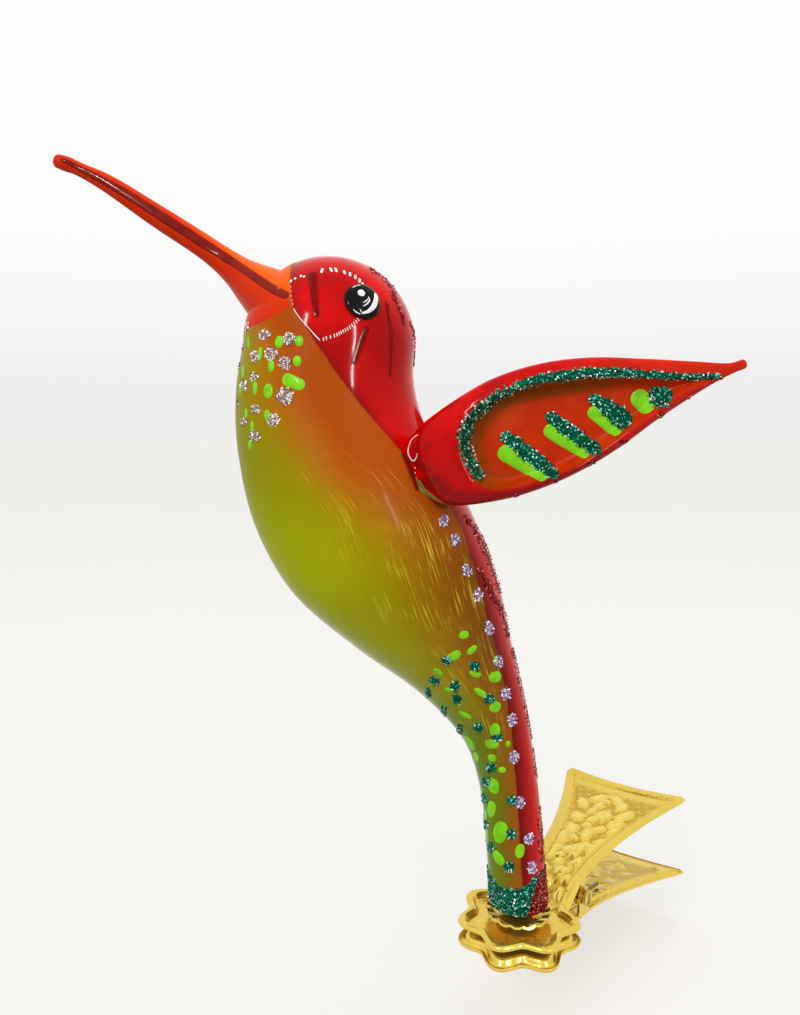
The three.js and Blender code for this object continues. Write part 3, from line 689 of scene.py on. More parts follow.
def band_masks(tree, place):
    """Where the glue of the tail's band lies, and where that band is red."""
    x, y, z = axes(tree, place)
    front = times(tree, x, -1.0)
    turn = calc(tree, "ARCTAN2", calc(tree, "ABSOLUTE", y), front)
    turn = calc(tree, "DIVIDE", turn, math.pi)
    top = curve_over(tree, turn, [(angle / 180, height / BAND_FULL) for angle, height in BAND_TOP])
    over = calc(tree, "SUBTRACT", times(tree, top, BAND_FULL * MM), z)
    lean = SPLIT_LEAN / SPLIT_RISE / 180 / MM
    split = scaled(tree, z, lean, (SPLIT_FROM - SPLIT_LEAN * TAIL_FOOT / SPLIT_RISE) / 180)
    behind = calc(tree, "SUBTRACT", turn, split)
    return fade(tree, over, 0.0, 0.0002), fade(tree, behind, -0.01, 0.01)


def front_lacquer(tree, glass, place, z, level, behind):
    """Orange beside the red, olive and green ahead of it, darker where the belly meets the red as a
    painted shadow under the wing, and scratches on the belly.
    """
    rows = [
        ((height * MM - LOW) / (HIGH - LOW), reach / FULL_ROOM) for height, reach in FRONT_ROOM
    ]
    room = times(tree, curve_over(tree, level, rows), FULL_ROOM * MM)
    ahead = calc(tree, "DIVIDE", times(tree, behind, -1.0), room)
    drift = scaled(tree, noise(tree, place, 70.0, 3.0), 0.24, -0.12)
    clouded = calc(tree, "ADD", ahead, drift)
    throat = ramp(tree, clouded, [
        (0.0, glass.chest), (0.3, shade(174, 74, 2)), (0.52, shade(178, 96, 8)),
        (0.66, shade(168, 114, 2)), (0.82, shade(154, 132, 2)), (1.0, glass.olive),
    ])
    # the belly's first colours, next to the red, are darker: a painted shadow under the wing
    belly = ramp(tree, clouded, [
        (0.0, shade(116, 64, 2)), (0.2, shade(138, 84, 2)), (0.4, shade(154, 116, 2)),
        (0.58, shade(156, 142, 1)), (0.78, shade(164, 162, 1)), (1.0, glass.yellow),
    ])
    tail = ramp(tree, clouded, [
        (0.0, shade(150, 80, 2)), (0.22, shade(132, 92, 2)), (0.34, shade(116, 106, 2)),
        (0.7, glass.leaf), (1.0, shade(84, 124, 20)),
    ])
    front = blend_colour(tree, fade(tree, z, 0.07, 0.092), belly, throat)
    front = blend_colour(tree, fade(tree, z, 0.036, 0.056), tail, front)
    # the scratches follow the body's lines, so they are drawn over its share ahead of the red
    across = times(tree, ahead, FULL_ROOM * MM)
    drawn = add(tree, "ShaderNodeCombineXYZ", {"X": across, "Z": z}).outputs[0]
    scratches = use_group(tree, brush_streaks, Vector=drawn, Fine=2300.0, Share=0.55)["Mask"]
    reach = times(tree, fade(tree, z, 0.03, 0.045), fall(tree, z, 0.078, 0.098))
    marks = times(tree, scratches, reach, fall(tree, ahead, 0.55, 1.1), 0.7)
    return blend_colour(tree, marks, front, shade(206, 192, 52))


def back_lacquer(tree, glass, place, z, behind):
    """The red, darker at its seam and down the tail, and the height of the glass's waves."""
    cloud = clouds(tree, place, glass.red, glass.deep_red, 55.0)
    low_red = ramp(tree, calc(tree, "DIVIDE", behind, 0.008), [
        (0.0, shade(104, 10, 4)), (0.2, shade(156, 16, 10)), (0.45, shade(196, 14, 14)),
        (1.0, shade(208, 18, 20)),
    ])
    red = blend_colour(tree, fade(tree, z, 0.066, 0.094), low_red, cloud["Color"])
    seam = times(tree, fall(tree, behind, 0.0, 0.0022), 0.5)
    return blend_colour(tree, seam, red, shade(112, 4, 2)), cloud["Height"]


def body_lacquer(glass):
    material, tree, shader, place = new_material("body lacquer")
    x, _, z = axes(tree, place)
    level = map_range(tree, z, LOW, HIGH)
    wobble = scaled(tree, noise(tree, place, 300.0, 2.0), 0.0008, -0.0004)
    spots = on_body(RED_EDGE)
    spots = [(LOW, spots[0][1]), *spots, (HIGH, spots[-1][1])]
    behind = calc(tree, "SUBTRACT", x, edge_at(tree, level, spots))
    red_share = fade(tree, calc(tree, "ADD", behind, wobble), -0.0002, 0.0002)
    red, waves = back_lacquer(tree, glass, place, z, behind)
    front = front_lacquer(tree, glass, place, z, level, behind)
    coats = blend_colour(tree, red_share, front, red)
    # the beak's lacquer runs on over the front of the head
    spots = on_body(FOOT_EDGE)
    below = spots[0][0] - 0.8 * MM
    spots = [(LOW, FAR_LEFT), (below, FAR_LEFT), *spots, (HIGH, spots[-1][1])]
    foot = calc(tree, "SUBTRACT", edge_at(tree, level, spots, "VECTOR"), x)
    foot = fade(tree, calc(tree, "ADD", foot, wobble), -0.0003, 0.0002)
    coats = blend_colour(tree, foot, coats, beak_colour(tree, place, glass))
    band, band_red = band_masks(tree, place)
    glue = blend_colour(tree, band_red, shade(4, 82, 62), shade(112, 12, 10))
    satin = times(tree, calc(tree, "SUBTRACT", 1.0, red_share), fade(tree, z, 0.05, 0.075))
    satin = calc(tree, "MAXIMUM", satin, foot)
    feed(tree, shader, {
        "Base Color": blend_colour(tree, band, coats, glue),
        "Roughness": scaled(tree, satin, 0.24, 0.12),
        "Coat Weight": scaled(tree, satin, -0.75, 0.9),
        "Coat Roughness": 0.04,
        "Coat IOR": 1.15,
    })
    raise_surface(tree, shader, waves, 0.0012, 0.35)
    return material


# Beak: x, z, half height, half width from the tip to the root, in mm

BEAK_LINE = [
    (-85.8, 145.8, 1.25, 1.25), (-84.2, 145.3, 1.35, 1.35), (-81.8, 144.3, 1.25, 1.2),
    (-76.5, 141.6, 1.65, 1.45), (-68.2, 136.2, 2.05, 1.75), (-60.5, 131.3, 2.2, 1.9),
    (-56.4, 128.4, 2.45, 2.3), (-53.2, 125.9, 3.1, 3.6), (-50.7, 123.9, 4.1, 5.4),
    (-47.9, 121.8, 5.3, 7.5), (-45.4, 119.9, 6.0, 9.6), (-43.0, 118.0, 6.4, 11.4),
]
BEAK_RINGS = 96
BEAK_TIP = 0.85  # how far the rounding of its tip stands out
TIP_TURNS = (8, 25, 45, 65)  # degrees round that at which it has a ring


def beak_rings(sides):
    """Rings of points from the beak's tip to its root."""
    rings = []
    for number in range(BEAK_RINGS + 1):
        share = number / BEAK_RINGS
        x, z, height, width = spline(BEAK_LINE, share)
        ahead, behind = spline(BEAK_LINE, share + 0.004), spline(BEAK_LINE, share - 0.004)
        run = Vector((ahead[0] - behind[0], ahead[1] - behind[1])).normalized()
        for turn in TIP_TURNS if number == 0 else ():
            angle = math.radians(turn)
            back, flat = BEAK_TIP * math.cos(angle), math.sin(angle)
            spot = (x - run.x * back, z - run.y * back)
            rings.append(oval(*spot, run, height * flat, width * flat, sides))
        rings.append(oval(x, z, run, height, width, sides))
    return rings


def oval(x, z, run, height, width, sides):
    """A ring of points across a line that runs on in the X-Z plane."""
    ring = []
    for angle in turns_of(sides):
        up, side = height * math.cos(angle), width * math.sin(angle)
        ring.append(Vector((x - run.y * up, side, z + run.x * up)) * MM)
    return ring


def beak_lacquer(glass):
    material, tree, shader, place = new_material("beak lacquer")
    feed(tree, shader, {
        "Base Color": beak_colour(tree, place, glass),
        "Roughness": scaled(tree, noise(tree, place, 240.0), 0.16, 0.24),
        "Coat Weight": 0.35,
        "Coat Roughness": 0.15,
        "Coat IOR": 1.15,
    })
    raise_surface(tree, shader, noise(tree, place, 90.0, 1.0), 0.0006, 0.3)
    return material


# Wings: along, upper edge, lower edge, thickness, and how far drawn in to the body, in mm

WING_ROOT = Vector((-17.0, -12.5, 92.0))
WING_SPAN = Vector((48.4, -9.5, 15.1))
WING_SECTIONS = [
    (-9, 3.2, -4.6, 5.6, 4.6), (-4, 4.6, -6.6, 6.4, 2.6), (0, 6.6, -8.6, 7.6, 1.0),
    (6, 8.6, -9.8, 8.2, 0.1), (13, 10.1, -10.2, 7.6, 0), (21, 10.1, -9.4, 6.8, 0),
    (29, 8.6, -7.4, 5.8, 0), (37, 5.8, -4.4, 4.6, 0), (45, 2.7, -1.9, 3.2, 0),
    (49.4, 1.0, -0.9, 1.9, 0), (51.6, 0.9, -0.7, 1.6, 0),
]
# Outline of the pressed panel: along the wing and across it
PANEL = [
    (6.2, -7.0), (4.9, -3.6), (4.8, 0.4), (6.6, 3.9), (10.6, 6.4), (16, 7.2), (23.7, 6.3),
    (31, 4.6), (37.8, 2.4), (44.5, 0.3), (47.3, -0.9), (45.0, -1.2), (40.3, -1.9), (32.1, -4.8),
    (25.6, -7.2), (19.4, -8.6), (10.5, -8.7),
]
PANEL_START, PANEL_SLOPE = -0.35, 1.9  # where the panel's wall starts and ends inside its outline
INNER_FACE = -5.0  # kept as the distance inside the outline on the face that has no panel
WING_TIP = 0.6  # how far the rounding of its tip stands out
WING_TIP_TURNS = (30, 60, 82)  # degrees round that at which it has a ring
FINE_ROWS = 900  # steps in which the sections' curve is read


def panel_line():
    """The panel's outline as a closed smooth line of points."""
    count = len(PANEL)
    line = []
    for number in range(count):
        around = [PANEL[(number + step) % count] for step in (-1, 0, 1, 2)]
        for part in range(8):
            line.append(spline(around, (1 + part / 8) / 3))
    return np.array(line)


def panel_depth_at(spots):
    """Distance inside the panel's outline, negative outside it."""
    line = panel_line()
    following = np.roll(line, -1, 0)
    spots = np.asarray(spots, float)[:, None, :]
    run = following - line
    share = np.clip(((spots - line) * run).sum(2) / (run ** 2).sum(1), 0, 1)
    near = np.sqrt((((line + share[..., None] * run) - spots) ** 2).sum(2)).min(1)
    y = spots[..., 1]
    crosses = (line[:, 1] > y) != (following[:, 1] > y)
    rise = np.where(run[:, 1] == 0, 1e-9, run[:, 1])
    at = line[:, 0] + (y - line[:, 1]) / rise * run[:, 0]
    inside = (crosses & (spots[..., 0] < at)).sum(1) % 2 == 1
    return np.where(inside, near, -near)


def wing_axes():
    """Directions along the left wing, up its face and out of it."""
    along = WING_SPAN.normalized()
    up = (Vector((0, 0, 1)) - along * along.z).normalized()
    outwards = along.cross(up)
    if outwards.y > 0:
        outwards.negate()
    return along, up, outwards


def wing_rings(glass, side):
    """Rings of points along a wing, and each point's distance inside the panel's outline."""
    along, up, outwards = wing_axes()
    mirror = 1 if side == LEFT else -1
    angles = turns_of(glass.wing_sides)
    rows = np.array([spline(WING_SECTIONS, share) for share in np.linspace(0, 1, FINE_ROWS)])
    rings, depths = [], []
    for place in np.linspace(WING_SECTIONS[0][0], WING_SECTIONS[-1][0], glass.wing_rings):
        top, bottom, thick, drawn = (
            np.interp(place, rows[:, 0], rows[:, column]) for column in (1, 2, 3, 4)
        )
        spots = [
            (place, bottom + (top - bottom) * ((1 + math.cos(angle)) / 2)) for angle in angles
        ]
        inside = panel_depth_at(spots)
        dips = glass.panel_depth * smoothstep(inside, PANEL_START, PANEL_SLOPE)
        ring = []
        for angle, (_, level), dip in zip(angles, spots, dips):
            turn = math.sin(angle)
            out = thick / 2 * (math.sqrt(turn) - dip) if turn > 0 else thick / 2 * turn
            spot = WING_ROOT + along * place + up * level + outwards * out
            spot.y = (spot.y + drawn) * mirror
            ring.append(spot * MM)
        rings.append(ring)
        facing = np.array([math.sin(angle) > 0 for angle in angles])
        depths.append(np.where(facing, inside, INNER_FACE))
    last = rings[-1]
    middle = sum(last, Vector()) / len(last)
    forwards = Vector((along.x, along.y * mirror, along.z))
    for turn in WING_TIP_TURNS:
        angle = math.radians(turn)
        shift = forwards * (WING_TIP * math.sin(angle)) * MM
        rings.append([middle + (spot - middle) * math.cos(angle) + shift for spot in last])
        depths.append(depths[-1])
    return rings, depths


def wing_rim(tree, glass, x, over, place):
    """Red, paler towards the tip, with painted dark reflections streaked towards the root and a painted
    dark reflection along the lower rim, and the height of its waves.
    """
    cloud = clouds(tree, place, glass.red, glass.deep_red, 80.0)
    paler = times(tree, fade(tree, x, -0.005, 0.02), 0.6)
    rim = blend_colour(tree, paler, cloud["Color"], shade(206, 44, 10))
    # painted reflections: dark streaks along the wing, strongest towards the root
    streaks = noise(tree, stretched(tree, place, (0.35, 1.0, 1.0)), 260.0, 3.0, 0.6)
    near_root = scaled(tree, fall(tree, x, -0.022, 0.004), 0.55, 0.25)
    dark = times(tree, fade(tree, streaks, 0.44, 0.62), near_root)
    rim = blend_colour(tree, dark, rim, shade(122, 12, 10))
    # painted reflection: a dark band along the lower rim
    painted_low_reflection = times(tree, fall(tree, over, -0.0105, -0.006), 0.7)
    return blend_colour(tree, painted_low_reflection, rim, shade(136, 6, 6)), cloud["Height"]


def wing_panel(tree, glass, x, over, inside, place):
    """Orange red in the panel, olive at its root and along its upper wall."""
    panel = ramp(tree, noise(tree, place, 90.0, 2.0), [
        (0.3, glass.panel), (0.5, shade(190, 42, 3)), (0.75, shade(216, 70, 6)),
    ])
    upper = times(tree, fade(tree, over, -0.001, 0.003), fall(tree, inside, 1.6, 3.2))
    root = times(tree, fall(tree, x, -0.012, 0.0), fall(tree, inside, 2.0, 5.0))
    olive = times(tree, calc(tree, "MAXIMUM", upper, root), fall(tree, x, 0.004, 0.022), 0.85)
    return blend_colour(tree, olive, panel, shade(120, 62, 0))


def wing_lacquer(glass):
    material, tree, shader, place = new_material("wing lacquer")
    inside = attribute(tree, "panel")
    x, _, z = axes(tree, place)
    # height over the wing's middle line, along which it rises
    over = calc(tree, "SUBTRACT", z, scaled(tree, x, 0.31, 0.098))
    rim, waves = wing_rim(tree, glass, x, over, place)
    share = fade(tree, inside, 0.0, 0.35)
    panel = wing_panel(tree, glass, x, over, inside, place)
    feed(tree, shader, {
        "Base Color": blend_colour(tree, share, rim, panel),
        "Roughness": scaled(tree, share, 0.2, 0.1),
        "Coat Weight": scaled(tree, share, -0.6, 1.0),
        "Coat Roughness": 0.04,
        "Coat IOR": 1.15,
    })
    raise_surface(tree, shader, waves, 0.001, 0.35)
    return material


# The camera of the photograph, which also places the paint

EYE_POINT = Vector((-0.0234, -0.1534, 0.0955))
TILT = math.radians(4.9)
FOCUS = 813.0  # pixels
CENTRE = (400.0, 507.5)
FORWARDS = Vector((0, math.cos(TILT), -math.sin(TILT)))
UPWARDS = Vector((0, math.sin(TILT), math.cos(TILT)))


def sight(px, py):
    """The direction in which the photograph shows a pixel."""
    across, rise = px - CENTRE[0], CENTRE[1] - py
    return (Vector((1, 0, 0)) * across + UPWARDS * rise + FORWARDS * FOCUS).normalized()


def on_skin(skin, px, py):
    """The place and normal on a finished skin that the photograph shows there."""
    tree = SURFACES[skin]
    ray = sight(px, py)
    spot, normal, _, _ = tree.ray_cast(EYE_POINT, ray)
    if spot is None:
        beside = EYE_POINT + ray * (-EYE_POINT.y / ray.y)
        spot, normal, _, _ = tree.find_nearest(beside)
    return spot, normal


def pixel_size(spot):
    """Metres that a pixel covers at a place."""
    return (spot - EYE_POINT).dot(FORWARDS) / FOCUS


def keep_values(mesh, label, values):
    """Keeps a value for each vertex, for its material to read."""
    mesh.attributes.new(label, "FLOAT", "POINT").data.foreach_set("value", values)


class Coat:
    """Closed meshes of paint and flakes that are gathered for one piece."""

    def __init__(self):
        self.points, self.faces, self.values = [], [], []

    def take(self, points, faces, values):
        first = len(self.points)
        self.points += points
        self.faces += [tuple(first + corner for corner in face) for face in faces]
        self.values += values

    def piece(self, name, label):
        """One piece of all that was gathered and its mirror image; label names its values."""
        count = len(self.points)
        points = self.points + [(x, -y, z) for x, y, z in self.points]
        faces = self.faces + [
            tuple(count + corner for corner in reversed(face)) for face in self.faces
        ]
        mesh = bpy.data.meshes.new(name)
        mesh.from_pydata(points, [], faces)
        keep_values(mesh, label, self.values * 2)
        piece = bpy.data.objects.new(name, mesh)
        bpy.context.scene.collection.objects.link(piece)
        return piece


ACROSS = (-1.0, -0.92, -0.72, -0.4, 0.0, 0.4, 0.72, 0.92, 1.0)  # places across a stroke
ROW_STEP = 2.2  # pixels along a stroke from one row of them to the next
SUNK = 0.09 * MM  # how deep a stroke's underside lies in the glass
GLUE = 0.1 * MM  # height of the glue under glitter
GLUE_VALUE = 0.25  # and its place among the glitter's colours
OVER_LIME = 0.1 * MM  # further height of glitter that lies over the lime bars
FLAKE_SHAPE = (1, 0.8, 0.16)  # half length, half width and half thickness
FLAKE_LEAN = 0.45  # how unevenly the flakes lie


def stroke(coat, skin, path, widths, rise, value=None, oval=False):
    """A domed, closed strip of paint on a skin, along places in the photograph's frame."""
    tree = SURFACES[skin]
    reach = sum(math.dist(a, b) for a, b in zip(path, path[1:]))
    steps = max(14 if oval else 8, int(reach / ROW_STEP))
    spots = [on_skin(skin, *spline(path, i / steps)) for i in range(steps + 1)]
    run_length = sum((b[0] - a[0]).length for a, b in zip(spots, spots[1:]))
    points, below, values = [], [], []
    travelled = 0.0
    for number, (spot, normal) in enumerate(spots):
        before, after = spots[max(number - 1, 0)][0], spots[min(number + 1, steps)][0]
        travelled += (spot - before).length
        half = mixed(widths, number / steps) / 2 * pixel_size(spot)
        end = min(travelled, run_length - travelled) / max(half, 1e-6)
        part = 1 - min(end, 1)
        if oval:
            part = (abs(2 * travelled / run_length - 1)) ** 1.15
        taper = math.sqrt(max(1 - part * part, 0.0004))
        side = normal.cross(after - before).normalized()
        for across in ACROSS:
            wanted = spot + side * (across * half * taper)
            lying, facing, _, _ = tree.find_nearest(wanted)
            dome = math.sqrt(max(1 - across * across, 0)) * taper
            points.append(tuple(lying + facing * (rise * dome - (1 - dome) * SUNK * 0.5)))
            below.append(tuple(lying - facing * SUNK))
            values.append(taper * (1 - abs(across)) if value is None else value)
    rows, columns = steps + 1, len(ACROSS)
    base = rows * columns
    faces = []
    for i in range(rows - 1):
        for j in range(columns - 1):
            a = i * columns + j
            faces.append((a, a + 1, a + columns + 1, a + columns))
            faces.append((base + a, base + a + columns, base + a + columns + 1, base + a + 1))
        left, right = i * columns, i * columns + columns - 1
        faces.append((left, left + columns, base + left + columns, base + left))
        faces.append((right, base + right, base + right + columns, right + columns))
    for j in range(columns - 1):
        far = (rows - 1) * columns + j
        faces.append((j, base + j, base + j + 1, j + 1))
        faces.append((far, far + 1, base + far + 1, base + far))
    coat.take(points + below, faces, values + values)


def dab(coat, skin, x, y, width, height, rise, turn=0.0, value=None):
    """One blunt touch of the brush; width and height in the photograph's frame."""
    longer, shorter = max(width, height), min(width, height)
    angle = math.radians(turn if width >= height else turn + 90)
    dx, dy = math.cos(angle) * longer / 2, math.sin(angle) * longer / 2
    path = [(x - dx, y - dy), (x, y), (x + dx, y + dy)]
    stroke(coat, skin, path, [shorter] * 3, rise, value, oval=True)


def dash(coat, x, y, size, lean, widths, rise):
    """A short straight stroke on the body that leans so many degrees from upright."""
    angle = math.radians(lean)
    dx, dy = size / 2 * math.sin(angle), size / 2 * math.cos(angle)
    stroke(coat, "body", [(x + dx, y - dy), (x, y), (x - dx, y + dy)], widths, rise)


@cache
def one_flake():
    """The flattened eight-sided flake that all glitter repeats: points and faces."""
    clear()
    bpy.ops.mesh.primitive_uv_sphere_add(segments=4, ring_count=2, radius=1)
    piece = bpy.context.object
    edit_all()
    bpy.ops.transform.resize(value=FLAKE_SHAPE)
    finish_skin()
    points = np.array([tuple(vertex.co) for vertex in piece.data.vertices])
    faces = [tuple(face.vertices) for face in piece.data.polygons]
    bpy.data.objects.remove(piece)
    return points, faces


def strew(coat, spots, size, lift=0.0):
    """Flakes at (place, normal) pairs, each tilted and turned its own way."""
    shape, faces = one_flake()
    for spot, normal in spots:
        lean = DRAW.normal(0, FLAKE_LEAN, 3)
        facing = Vector(np.array(normal) + lean).normalized()
        first = facing.orthogonal().normalized()
        second = facing.cross(first)
        spin = DRAW.uniform(0, 2 * math.pi)
        a = first * math.cos(spin) + second * math.sin(spin)
        b = facing.cross(a)
        half = size * MM * DRAW.uniform(0.6, 1.25)
        centre = spot + normal * (DRAW.uniform(0.02, 0.13) * MM + lift)
        points = shape @ (np.array([a, b, facing]) * half) + np.array(centre)
        coat.take([tuple(p) for p in points], faces, [float(DRAW.uniform())] * len(shape))


def strewn_stroke(coat, skin, path, widths, glitter, lift=0.0):
    """Glitter along a stroke of glue, ragged at its edge."""
    stroke(coat, skin, path, [width * 0.88 for width in widths], GLUE + lift, GLUE_VALUE)
    reach = sum(math.dist(a, b) for a, b in zip(path, path[1:]))
    middle = on_skin(skin, *spline(path, 0.5))[0]
    pixel = pixel_size(middle) / MM
    wide = sum(widths) / len(widths)
    count = int(max(reach, wide) * wide * pixel * pixel * glitter.spread)
    spots = []
    for _ in range(count):
        share = DRAW.uniform(-0.02, 1.02)
        here = spline(path, share)
        ahead = spline(path, min(share + 0.02, 1))
        behind = spline(path, max(share - 0.02, 0))
        run = (ahead[0] - behind[0], ahead[1] - behind[1])
        size = math.hypot(*run) or 1
        half = mixed(widths, min(max(share, 0), 1)) / 2
        end = min(share, 1 - share) * reach / max(half, 0.1)
        half *= math.sqrt(max(1 - (1 - min(max(end, 0), 1)) ** 2, 0.05))
        off = DRAW.uniform(-1, 1) * half * DRAW.uniform(0.85, 1.12)
        spots.append(on_skin(skin, here[0] - run[1] / size * off, here[1] + run[0] / size * off))
    strew(coat, spots, glitter.flake, lift)


def strewn_dot(coat, skin, x, y, radius, glitter, squash=1.0, lift=0.0):
    """Glitter on a dot of glue, narrower where the skin turns away."""
    spot, normal = on_skin(skin, x, y)
    narrow = min(max(-normal.dot(sight(x, y)) * 1.6, 0.35), 1.0)
    width, height = radius * 1.85 * narrow, radius * 1.8 * squash
    dab(coat, skin, x, y, width, height, GLUE + lift, value=GLUE_VALUE)
    pixel = pixel_size(spot) / MM
    count = int(math.pi * radius * radius * squash * pixel * pixel * glitter.spread)
    spots = []
    for _ in range(max(count, 6)):
        turn = DRAW.uniform(0, 2 * math.pi)
        far = math.sqrt(DRAW.uniform(0, 1)) * radius * DRAW.uniform(0.85, 1.05)
        dx, dy = far * narrow * math.cos(turn), far * squash * math.sin(turn)
        spots.append(on_skin(skin, x + dx, y + dy))
    strew(coat, spots, glitter.flake, lift)


def glitter_material(name, metal, stops):
    material, tree, shader, _ = new_material(name)
    # each flake's random value picks its colour, from painted shade to a painted glint
    value = attribute(tree, "flake")
    feed(tree, shader, {
        "Base Color": ramp(tree, value, stops),
        "Metallic": metal,
        "Roughness": scaled(tree, value, 0.25, 0.12),
    })
    return material


def paint_material(name, first, second, rough=0.3, coat=0.5):
    """Enamel that drifts between two colours."""
    material, tree, shader, place = new_material(name)
    feed(tree, shader, {
        "Base Color": clouds(tree, place, first, second, 420.0)["Color"],
        "Roughness": scaled(tree, noise(tree, place, 900.0), 0.12, rough - 0.06),
        "Coat Weight": coat,
        "Coat Roughness": 0.1,
        "Coat IOR": 1.2,
    })
    return material


def soft_paint_material(name, first, second, high, full):
    """Thin paint that fades out towards its edge."""
    material = paint_material(name, first, second, 0.16, 0.9)
    tree = material.node_tree
    cover = times(tree, fade(tree, attribute(tree, "middle"), 0.0, high), full)
    feed(tree, tree.nodes["Principled BSDF"], {"Alpha": cover})
    return material


# Operators


class ORNAMENT_OT_body(bpy.types.Operator):
    """Blow the body: head, breast and tail tube in one skin, open at the foot"""

    bl_idname = "ornament.body"
    bl_label = "Body"

    def execute(self, context):
        glass = context.scene.ornament_glass
        piece = ringed("body", body_rings(glass))
        tidy_faces(piece, 60)
        SURFACES["body"] = skin_of(piece.name)
        dress(piece, body_lacquer(glass), replaces=["bird_body"])
        return {"FINISHED"}


class ORNAMENT_OT_beak(bpy.types.Operator):
    """Draw the beak out of its flared foot to the small ball at its tip"""

    bl_idname = "ornament.beak"
    bl_label = "Beak"

    def execute(self, context):
        glass = context.scene.ornament_glass
        piece = ringed("long_beak", beak_rings(glass.beak_sides))
        tidy_faces(piece, 60)
        SURFACES["beak_root"] = skin_of("body", piece.name)
        dress(piece, beak_lacquer(glass), replaces=["beak"])
        return {"FINISHED"}


class ORNAMENT_OT_wings(bpy.types.Operator):
    """Draw both wings and press the panel into each outer face"""

    bl_idname = "ornament.wings"
    bl_label = "Wings"

    def execute(self, context):
        glass = context.scene.ornament_glass
        lacquer = wing_lacquer(glass)
        for side, name in SIDES:
            rings, depths = wing_rings(glass, side)
            piece = ringed(f"{name}_wing_glass", rings)
            flat = np.concatenate(depths)
            spots = np.array([tuple(spot) for ring in rings for spot in ring])
            at = np.array([tuple(vertex.co) for vertex in piece.data.vertices])
            values = [flat[np.argmin(((spots - spot) ** 2).sum(1))] for spot in at]
            keep_values(piece.data, "panel", values)
            pick(piece)
            bpy.ops.object.shade_smooth()
            if side == LEFT:
                SURFACES["wing"] = skin_of(piece.name)
                SURFACES["wing_root"] = skin_of("body", piece.name)
            dress(piece, lacquer, replaces=[f"{name}_wing"])
        return {"FINISHED"}


EYE_AT = (362.5, 301.5)  # the eye's middle in the photograph's frame


class ORNAMENT_OT_eyes(bpy.types.Operator):
    """Set the black enamel drops of the eyes"""

    bl_idname = "ornament.eyes"
    bl_label = "Eyes"

    radius: FloatProperty(name="Radius", description="Radius in mm", default=3.3)
    proud: FloatProperty(
        name="Proud", description="How far the drop stands out, in mm", default=1.1
    )
    sunk: FloatProperty(
        name="Sunk", description="How deep the drop's foot lies in the glass, in mm", default=0.5
    )

    def execute(self, context):
        paint = context.scene.ornament_paint
        black = paint_material("black enamel", paint.black, shade(2, 2, 3), 0.1, 1.0)
        for side, name in SIDES:
            spot, normal = (found.copy() for found in on_skin("body", *EYE_AT))
            clear()
            bpy.ops.mesh.primitive_uv_sphere_add(
                segments=56, ring_count=28, radius=self.radius * MM
            )
            piece = named(bpy.context.object, f"{name}_eye_drop")
            edit_all()
            flat = self.proud / self.radius
            bpy.ops.transform.resize(value=(1, 1, flat), center_override=(0, 0, 0))
            bpy.ops.mesh.bisect(
                plane_co=(0, 0, -self.sunk * MM), plane_no=(0, 0, 1), use_fill=True,
                clear_inner=True,
            )
            bpy.ops.object.mode_set(mode="OBJECT")
            if side != LEFT:
                spot.y, normal.y = -spot.y, -normal.y
            turn = normal.to_track_quat("Z", "Y").to_matrix().to_4x4()
            moved(piece, Matrix.Translation(spot) @ turn)
            tidy_faces(piece, 40)
            if side == LEFT:
                SURFACES["eye"] = skin_of(piece.name)
            dress(piece, black, replaces=[f"{name}_eye"])
        return {"FINISHED"}


# Paint, as places in the photograph's frame

# Dabs: place, width, height, turn in degrees
LIME_DOTS = [
    (279, 342, 10, 13, 8), (299, 341, 9, 11, 0), (248.5, 342, 5, 12, 0), (260, 354, 6, 15, 5),
    (271, 366, 8, 13, 0), (297, 361, 9, 11, 0), (243, 372, 6, 12, 0), (255, 388, 7, 14, 0),
    (268, 391, 12, 15, 0), (267, 415, 8, 11, 0), (246, 414, 5, 11, 0), (252, 427, 6, 12, 0),
    (250, 445, 6, 10, 0), (240.5, 390, 4, 12, 0),
]
LIME_BEAN = [(282, 378), (291, 381), (305, 387)]
TAIL_DABS = [
    (454, 656, 16, 11, -30), (472, 650, 13.4, 7.8, -40), (475, 674, 12.3, 6.7, 20), (495, 677, 13, 12, 0),
    (438, 672, 11.2, 6.7, 40), (481, 693, 16.8, 6.7, 35), (495, 707, 12, 12, 0), (465, 715, 14.6, 6.7, 30),
    (495, 730, 11, 14, 0), (469, 743, 18, 15, 60), (492, 744, 15, 11, 0), (492, 758, 9, 9, 0),
    (502, 770, 7.8, 6.7, 0), (493, 786, 14, 16, 0), (491, 809, 11, 16, 15), (500, 832, 16, 22, 20),
    (520, 851, 10, 15, 10), (498, 858, 13, 18, -35), (464, 635, 10.1, 9, 0), (496, 660, 6.7, 9, 0),
    (449, 690, 10.1, 5.6, 20), (476, 757, 7.8, 9, 0), (508, 744, 5.6, 6.7, 0), (487, 835, 5.6, 15.7, 0),
    (486, 815, 4.5, 13.4, 0),
]
# Strokes: the places along each, and its widths from end to end
WING_BARS = [
    ([(499, 448), (514, 459), (530, 470), (546, 480)], [20, 16, 13, 10]),
    ([(545, 426), (560, 438), (575, 448), (588, 457)], [17, 14, 12, 9]),
    ([(589, 408), (600, 418), (611, 428), (620, 434)], [15, 13, 12, 9]),
    ([(634, 391), (642, 401), (651, 412)], [19, 19, 15]),
]
WING_GLITTER_BARS = [
    ([(502, 434), (519, 447), (537, 461), (557, 477)], [12, 16, 17, 12]),
    ([(547, 414), (564, 427), (583, 441), (600, 453)], [12, 15, 16, 12]),
    ([(590, 397), (605, 406), (619, 417), (629, 426)], [10, 17, 24, 19]),
]
WING_ARC = [
    (481, 480), (471, 464), (465, 446), (466, 430), (474, 415), (488, 403), (510, 390), (535, 381),
    (561, 376), (590, 373), (620, 373), (652, 375), (690, 377), (720, 376),
]
RED_CLUMPS = [
    (517, 498), (556, 485), (592, 465), (625, 444), (662, 417), (690, 400), (721, 381),
]
